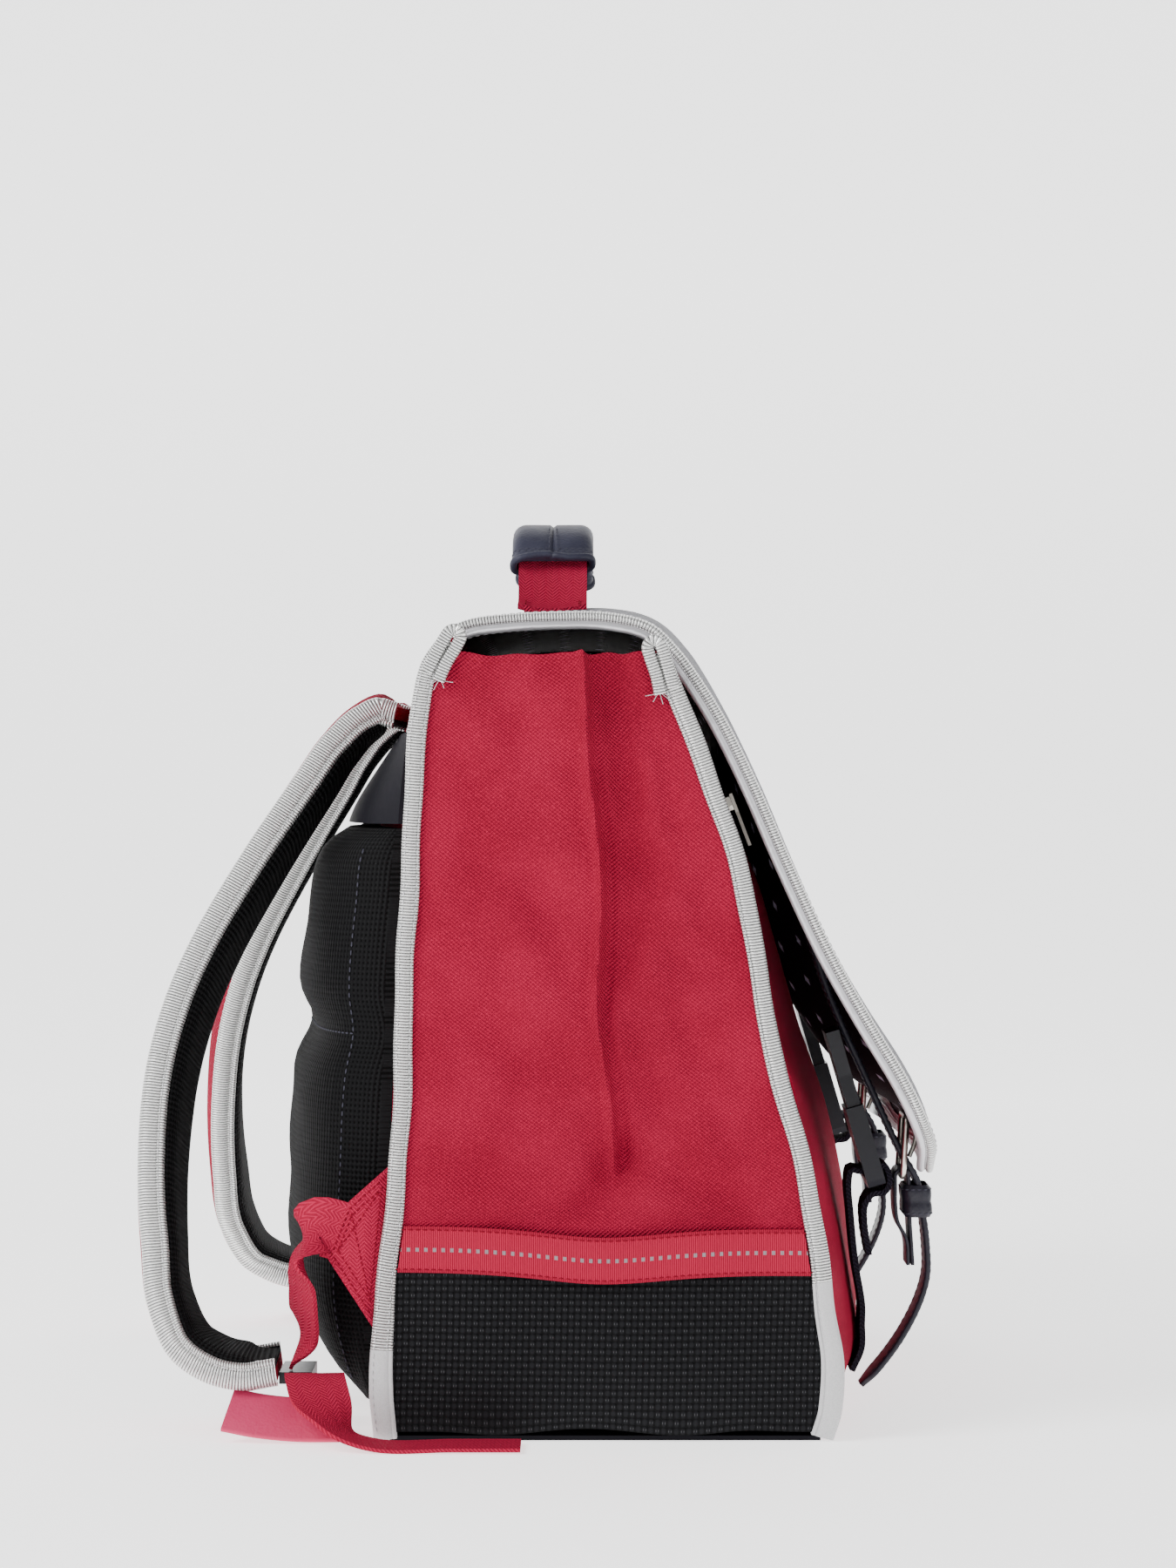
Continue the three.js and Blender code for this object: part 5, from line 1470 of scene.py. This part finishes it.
def build_straps():
    """Canvas straps with a cushion of mesh, two folded tapes, and what hangs from their ends."""
    straps, body = bpy.context.scene.ransel_straps, bpy.context.scene.ransel_body
    stack = straps.wall + GAP + straps.mesh
    half = straps.width / 2 - body.tape_wall - GAP
    edge_face = -straps.crown

    def canvas(t):
        end = ramp(min(t, 1 - t), 0, 0.03)
        swell = (straps.crown + straps.plump) * end
        lift = [swell * (1 - abs(2 * k / 24 - 1) ** 3) for k in range(25)]
        top = [(half - 2 * half * k / 24, edge_face + high) for k, high in enumerate(lift)]
        low = [(-half, edge_face - straps.wall), (half, edge_face - straps.wall)]
        return low + top

    def cushion(t):
        end = ramp(min(t, 1 - t), 0, 0.05)
        face = edge_face - straps.wall - GAP
        side = half - GAP
        swell = [straps.cushion * end * max(0.0, 1 - abs(2 * k / 28 - 1) ** 5) ** 0.5 for k in range(29)]
        low = [(-side + 2 * side * k / 28, face - straps.mesh - deep) for k, deep in enumerate(swell)]
        return [(side, face), (-side, face)] + low

    part = 0.58
    tape = tape_outline(straps.edge, stack + 4 * GAP, body.tape_wall, -part)
    sewn = []
    for name, sign in SIDES:
        stations = strap_stations(sign, 0.0024)
        body_piece = sweep(f"strap_{name}_canvas", stations, canvas, "canvas")
        pad = sweep(f"strap_{name}_mesh", stations, cushion, "mesh", node=f"strap_lining_{name}")
        for edge, turn in (("outer", 1), ("inner", -1)):
            sides = []
            for at, across, out in stations:
                edge_at = at + across * turn * straps.width / 2 + out * (edge_face - stack / 2)
                sides.append((edge_at, -across * turn, out))
            node = f"strap_binding_{edge}_{name}"
            sweep(node + "_tape", sides, tape, "silver")
            lift = stack / 2 + 2 * GAP + body.tape_wall
            inset = straps.edge * 0.84
            for across, height in ((inset, lift), (inset, -lift), (0.0004, -lift * part)):
                sewn.append(row_on(sides, across, height, 3, -3))
        build_strap_end(name, sign)
    stitches("strap_stitches", sewn, "thread_white", "strap")


def on_body(row, sign):
    body = bpy.context.scene.ransel_body
    back, up, across = row
    return vec(sign * across * body.width / 2, back * body.depth, up * body.gusset)


# Anchor tab in the back seam: heights of its top, its bottom and its tip, how far the tip stands out,
# and the place of the lower tip.
TAB_HIGH, TAB_LOW, TAB_TIP_Z, TAB_REACH = 0.117, 0.046, 0.1, 0.018
TAB_LOW_TIP = (0.1185, 0.0775)


def build_strap_end(name, sign):
    """The anchor tab in the back seam, the webbing, its adjuster, its free end and the pull tab."""
    straps, body = bpy.context.scene.ransel_straps, bpy.context.scene.ransel_body
    outer = body.width / 2 - body.base_cloth / 2 - 2 * GAP - body.tape_wall

    def seam(z):
        return back_y(z) - body.board / 2

    tip = (seam(TAB_TIP_Z) + TAB_REACH, TAB_TIP_Z)
    tab_corners = [(seam(TAB_HIGH), TAB_HIGH), tip, TAB_LOW_TIP, (seam(TAB_LOW), TAB_LOW)]
    middle = np.mean(tab_corners, axis=0)
    outline = rounded_polygon(tab_corners, 0.0012)

    def shrunk(inset):
        return [tuple(mix(np.array(p), middle, inset)) for p in outline]

    depths = (-body.board, -body.board + 0.0006, -0.0006, 0)
    stations = [(vec(sign * (outer + x), 0, 0), Y_AXIS, Z_AXIS) for x in depths]
    shares = (0.05, 0.0, 0.0, 0.05)
    sweep(f"anchor_tab_{name}_cloth", stations, lambda t: shrunk(shares[round(t * 3)]), "webbing")
    face = outer + 0.0001
    lines = []
    for inset in (0.16, 0.34):
        ring = [vec(sign * face, *mix(np.array(p), middle, inset)) for p in tab_corners]
        lines.append(dense_line(ring + ring[:1], 0.001))
    corners = [mix(np.array(p), middle, 0.34) for p in tab_corners]
    for k in (0, 1):
        lines.append(dense_line([vec(sign * face, *corners[k]), vec(sign * face, *corners[k + 2])], 0.001))
    stitches(f"anchor_tab_{name}_stitches", lines, "thread_red", "anchor_tab")
    lower_edge = unit(vec(0, TAB_LOW_TIP[0] - tip[0], TAB_LOW_TIP[1] - tip[1]))
    across = vec(sign, 0, 0)
    slanting = vec(sign * 0.9, -0.45, 0)

    def side(t):
        return mix(mix(lower_edge, slanting, ramp(t, 0.25, 0.55)), across, ramp(t, 0.8, 1.0))

    webbing = stations_along([on_body(r, sign) for r in WEBBING_LINE], 0.002, side)
    band = cupped_outline(straps.webbing, straps.webbing_wall, 6)
    sweep(f"strap_webbing_{name}_band", webbing, band, "webbing")

    def tail_side(t):
        return mix(Y_AXIS, across, ramp(t, 0.12, 0.45))

    tail = stations_along([on_body(r, sign) for r in TAIL_LINE], 0.002, tail_side)
    sweep(f"webbing_tail_{name}_band", tail, band, "webbing")
    lean = unit(vec(sign, 0, -1))
    pull = stations_along([on_body(r, sign) for r in PULL_LINE], 0.002, lambda t: lean)
    tab = round_outline(straps.pull, straps.webbing_wall * 1.6, 0.001, 3)
    sweep(f"pull_tab_{name}_band", pull, tab, "pink")
    harden(f"adjuster_{name}", "plastic", 0.0012)


def rounded_polygon(corners, cut):
    out = []
    for k in range(len(corners)):
        p, before, after = (np.array(corners[j % len(corners)]) for j in (k, k - 1, k + 1))
        for way in (before, after):
            out.append(tuple(p + unit(way - p) * cut))
    return out


def dense_line(points, step):
    out = []
    for a, b in zip(points[:-1], points[1:]):
        count = max(1, round(np.linalg.norm(b - a) / step))
        out += [mix(a, b, k / count) for k in range(count)]
    return [*out, points[-1]]


def build_fastenings():
    """Leather belts with their buckles, doubled tabs and keepers, and the clips on their webbing."""
    fast, body = bpy.context.scene.ransel_fastenings, bpy.context.scene.ransel_body
    shape = FlapShape()
    seat = shape.length * 0.62
    gap = shape.stack / 2 + 3.8 * GAP + fast.belt_wall / 2
    low, high = (vec(0, b * body.depth, u * body.back) for b, u in BUCKLE_ENDS)
    up = unit(high - low)
    belt_edges, clip_edges = [], []
    for name, sign in SIDES:
        x = sign * fast.x

        def front(rows):
            return [vec(x, b * body.depth, u * body.back) for b, u in rows]

        under = [shape.point(s, x) - shape.normal(s, x) * gap for s in (seat, seat + 0.009)]
        belt = stations_along([*under, *front(BELT_LINE)], 0.0018, lambda t: X_AXIS)

        def belt_outline(t):
            width = fast.belt * (1 - 0.5 * ramp(t, 0.955, 1.0) ** 2)
            return round_outline(width, fast.belt_wall, 0.0008, 3)

        sweep(f"belt_{name}_leather", belt, belt_outline, "belt")
        for side in (-1, 1):
            for edge in (-1, 1):
                across = edge * (fast.belt / 2 - 0.0022)
                belt_edges.append(row_on(belt, across, side * (fast.belt_wall / 2), 4, -5))
        middle = mix(low, high, 0.5) + vec(x, 0, 0)
        build_buckle(name, middle, up)
        bar = middle - up * (fast.buckle_height - fast.wire) / 2

        def place(rows):
            return [bar + vec(0, b * MM, u * MM) for b, u in rows]

        turn = fast.wire / 2 + 2.4 * GAP + fast.tab_wall / 2
        around = [bar + vec(0, turn * math.cos(a), turn * math.sin(a)) for a in np.linspace(0, math.pi, 9)]
        folded = [*place(TAB_INNER_LINE), *around, *place(TAB_OUTER_LINE)]
        tab = stations_along(folded, 0.0012, lambda t: X_AXIS)
        leather = round_outline(fast.belt - 0.001, fast.tab_wall, 0.0005, 3)
        sweep(f"buckle_tab_{name}_leather", tab, leather, "belt")
        prong = stations_along(place(PRONG_LINE), 0.001, lambda t: X_AXIS)

        def pin(t):
            return round_outline(0.003 - 0.001 * t, 0.002, 0.0009, 4)

        sweep(f"prong_{name}_pin", prong, pin, "metal")
        build_keeper(name, bar)
        webbing = clip_webbing_stations(x, fast, body)
        sweep(f"clip_webbing_{name}_band", webbing, cupped_outline(0.025, fast.webbing, 6), "dark_webbing")
        for edge in (-0.0105, 0.0105):
            for face in (fast.webbing / 2, -fast.webbing / 2):
                clip_edges.append(row_on(webbing, edge, face, -16, -2))
        for node in (f"clip_lower_{name}", f"clip_upper_{name}"):
            harden(node, "plastic", fast.bevel * 2)
    stitches("belt_stitches", belt_edges, "thread_dark", "belt")
    stitches("clip_stitches", clip_edges, "thread_dark", "clip")


def clip_webbing_stations(x, fast, body):
    sewn = []
    for share in (0.06, 0.09, 0.12):
        z = share * body.back
        sewn.append(vec(x, pocket_face(fast.x - 0.0125, z) - GAP - fast.webbing / 2 - 0.0004, z))
    loose = [vec(x, b * body.depth, u * body.back) for b, u in CLIP_LINE]
    return stations_along([*sewn, *loose], 0.0015, lambda t: X_AXIS)


def build_buckle(name, middle, up):
    """A ring of round wire in the shape of a rounded rectangle."""
    fast = bpy.context.scene.ransel_fastenings
    w, h, corner = fast.buckle / 2 - fast.wire / 2, fast.buckle_height / 2 - fast.wire / 2, 0.0034
    normal = np.cross(X_AXIS, up)
    stations = []
    for sx, sz, start in ((1, 1, 0), (-1, 1, 90), (-1, -1, 180), (1, -1, 270)):
        for k in range(7):
            a = math.radians(start + 15 * k)
            x, z = sx * (w - corner) + corner * math.cos(a), sz * (h - corner) + corner * math.sin(a)
            across = X_AXIS * math.cos(a) + up * math.sin(a)
            stations.append((middle + X_AXIS * x + up * z, across, normal))
    r = fast.wire / 2
    section = [(r * math.cos(a), r * math.sin(a)) for a in np.linspace(0, 2 * math.pi, 17)[:-1]]
    sweep(f"buckle_{name}_ring", stations, section, "metal", closed=True)


# A keeper: how far under the buckle's bar it starts, its height, the width and depth inside, its leather.
KEEPER = {"drop": 0.004, "tall": 0.014, "inside": 0.0234, "deep": 0.010, "thick": 0.0012}


def build_keeper(name, bar):
    """A stitched leather loop round the belt and the tab."""
    drop, tall, inside, deep, thick = KEEPER.values()
    stations = []
    for k in range(17):
        z = -drop - tall * k / 16
        stations.append((bar + vec(0, z * 0.05 - 0.006, z), X_AXIS, Y_AXIS))

    def outer(t):
        soft = 0.0014 * (1 - ramp(min(t, 1 - t), 0, 0.14)) - 0.0007 * abs(math.sin(2 * math.pi * t))
        return round_outline(inside + 2 * thick - soft, deep + 2 * thick - soft, 0.0044, 6)

    inner = round_outline(inside, deep, 0.0034, 6)
    sleeve(f"keeper_{name}_leather", stations, outer, inner, "belt")
    lines = []
    for k in (2, 14):
        at, across, out = stations[k]
        ring = outer(k / 16)
        lines.append([at + across * a * 1.003 + out * b * 1.006 for a, b in ring + ring[:1]])
    stitches(f"keeper_{name}_stitches", lines, "thread_dark", "keeper")


def build_base():
    """The stiff base panel, which keeps its CAD shape."""
    harden("base_panel", "yoke", 0.0005)


def build_stage():
    """Pale floor that curves up behind, soft lights and the camera."""
    stage = bpy.context.scene.ransel_stage
    rows = [(-3.0, 0.0), (1.6, 0.0)]
    rows += [(1.6 + 0.8 * math.sin(a), 0.8 - 0.8 * math.cos(a)) for a in np.linspace(0, math.pi / 2, 14)[1:]]
    rows += [(2.4, 4.0)]
    points = [(x, y, z) for x, z in rows for y in (-4.0, 4.0)]
    faces = [(2 * k, 2 * k + 1, 2 * k + 3, 2 * k + 2) for k in range(len(rows) - 1)]
    mesh = bpy.data.meshes.new("floor")
    mesh.from_pydata(points, [], faces)
    layer = mesh.uv_layers.new(name="cloth")
    layer.data.foreach_set("uv", [0.0] * (len(mesh.loops) * 2))
    mesh.polygons.foreach_set("use_smooth", [True] * len(mesh.polygons))
    mesh.materials.append(paint("floor"))
    shader = paint("floor").node_tree.nodes["Principled BSDF"]
    shader.inputs["Emission Color"].default_value = (1, 1, 1, 1)
    shader.inputs["Emission Strength"].default_value = stage.glow
    floor = bpy.data.objects.new("floor", mesh)
    bpy.context.scene.collection.objects.link(floor)

    def area(name, place, target, size, power):
        light = bpy.data.lights.new(name, "AREA")
        light.shape = "RECTANGLE"
        light.size, light.size_y = size
        light.energy = power
        obj = bpy.data.objects.new(name, light)
        obj.location = place
        obj.rotation_euler = (Vector(target) - Vector(place)).to_track_quat("-Z", "Y").to_euler()
        bpy.context.scene.collection.objects.link(obj)

    area("key_light", (-1.0, 1.25, 1.25), (0, 0, 0.18), (0.9, 0.9), stage.key)
    area("fill_light", (-1.5, -1.3, 0.7), (0, 0, 0.15), (1.2, 1.2), stage.fill)
    world = bpy.data.worlds.new("white")
    world.use_nodes = True
    world.node_tree.nodes["Background"].inputs["Color"].default_value = (1, 1, 1, 1)
    world.node_tree.nodes["Background"].inputs["Strength"].default_value = stage.world
    bpy.context.scene.world = world
    camera = bpy.data.cameras.new("camera")
    camera.lens = stage.lens
    camera.sensor_width = 36
    camera.sensor_fit = "AUTO"
    obj = bpy.data.objects.new("camera", camera)
    obj.location = stage.camera
    obj.rotation_euler = (math.pi / 2, 0, -math.pi / 2)
    bpy.context.scene.collection.objects.link(obj)
    bpy.context.scene.camera = obj


# Operators, panel and registration


class RanselStep:
    """Makes the paints that are missing and runs the step's own builders."""

    builders = ()

    def execute(self, context):
        make_paints()
        for build in self.builders:
            build()
        return {"FINISHED"}


class RanselSidesOperator(RanselStep, bpy.types.Operator):
    """Builds the gussets, side bases, ribbons, side bindings and the base panel"""

    bl_idname = "ransel.sides"
    bl_label = "Sides"
    builders = (build_base, build_sides)


class RanselBackOperator(RanselStep, bpy.types.Operator):
    """Builds the back panel, the yoke and the back pads"""

    bl_idname = "ransel.back"
    bl_label = "Back"
    builders = (build_back,)


class RanselFrontOperator(RanselStep, bpy.types.Operator):
    """Builds the front panel, the pocket and its zip"""

    bl_idname = "ransel.front"
    bl_label = "Front"
    builders = (build_front,)


class RanselFlapOperator(RanselStep, bpy.types.Operator):
    """Builds the flap, its lining and its binding"""

    bl_idname = "ransel.flap"
    bl_label = "Flap"
    builders = (build_flap,)


class RanselHandleOperator(RanselStep, bpy.types.Operator):
    """Builds the handle's webbing and its padded grip"""

    bl_idname = "ransel.handle"
    bl_label = "Handle"
    builders = (build_handle,)


class RanselStrapsOperator(RanselStep, bpy.types.Operator):
    """Builds the shoulder straps and what hangs from them"""

    bl_idname = "ransel.straps"
    bl_label = "Straps"
    builders = (build_straps,)


class RanselFasteningsOperator(RanselStep, bpy.types.Operator):
    """Builds the belts, buckles, keepers and clips"""

    bl_idname = "ransel.fastenings"
    bl_label = "Fastenings"
    builders = (build_fastenings,)


class RanselStageOperator(RanselStep, bpy.types.Operator):
    """Builds the floor, the lights and the camera"""

    bl_idname = "ransel.stage"
    bl_label = "Stage"
    builders = (build_stage,)


STEPS = (
    RanselSidesOperator, RanselBackOperator, RanselFrontOperator, RanselFlapOperator,
    RanselHandleOperator, RanselStrapsOperator, RanselFasteningsOperator, RanselStageOperator,
)

GROUPS = {
    "ransel_body": RanselBody,
    "ransel_back": RanselBack,
    "ransel_front": RanselFront,
    "ransel_flap": RanselFlap,
    "ransel_handle": RanselHandle,
    "ransel_straps": RanselStraps,
    "ransel_fastenings": RanselFastenings,
    "ransel_stage": RanselStage,
}


class RanselPanel(bpy.types.Panel):
    """Sizes of the ransel and a button for each of its pieces"""

    bl_label = "Ransel"
    bl_idname = "VIEW3D_PT_ransel"
    bl_space_type = "VIEW_3D"
    bl_region_type = "UI"
    bl_category = "Ransel"

    def draw(self, context):
        for step in STEPS:
            self.layout.operator(step.bl_idname)
        for key in GROUPS:
            box = self.layout.box()
            group = getattr(context.scene, key)
            box.label(text=key.replace("ransel_", "").capitalize())
            for name in group.bl_rna.properties.keys():
                if name not in {"rna_type", "name"}:
                    box.prop(group, name)


def register():
    for made in (*GROUPS.values(), *STEPS, RanselPanel):
        bpy.utils.register_class(made)
    for key, group in GROUPS.items():
        setattr(bpy.types.Scene, key, PointerProperty(type=group))


def unregister():
    for key in GROUPS:
        delattr(bpy.types.Scene, key)
    for made in reversed((*GROUPS.values(), *STEPS, RanselPanel)):
        bpy.utils.unregister_class(made)


def main():
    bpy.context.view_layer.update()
    register()
    for step in STEPS:
        area, name = step.bl_idname.split(".")
        getattr(getattr(bpy.ops, area), name)()


if __name__ == "__main__":
    main()
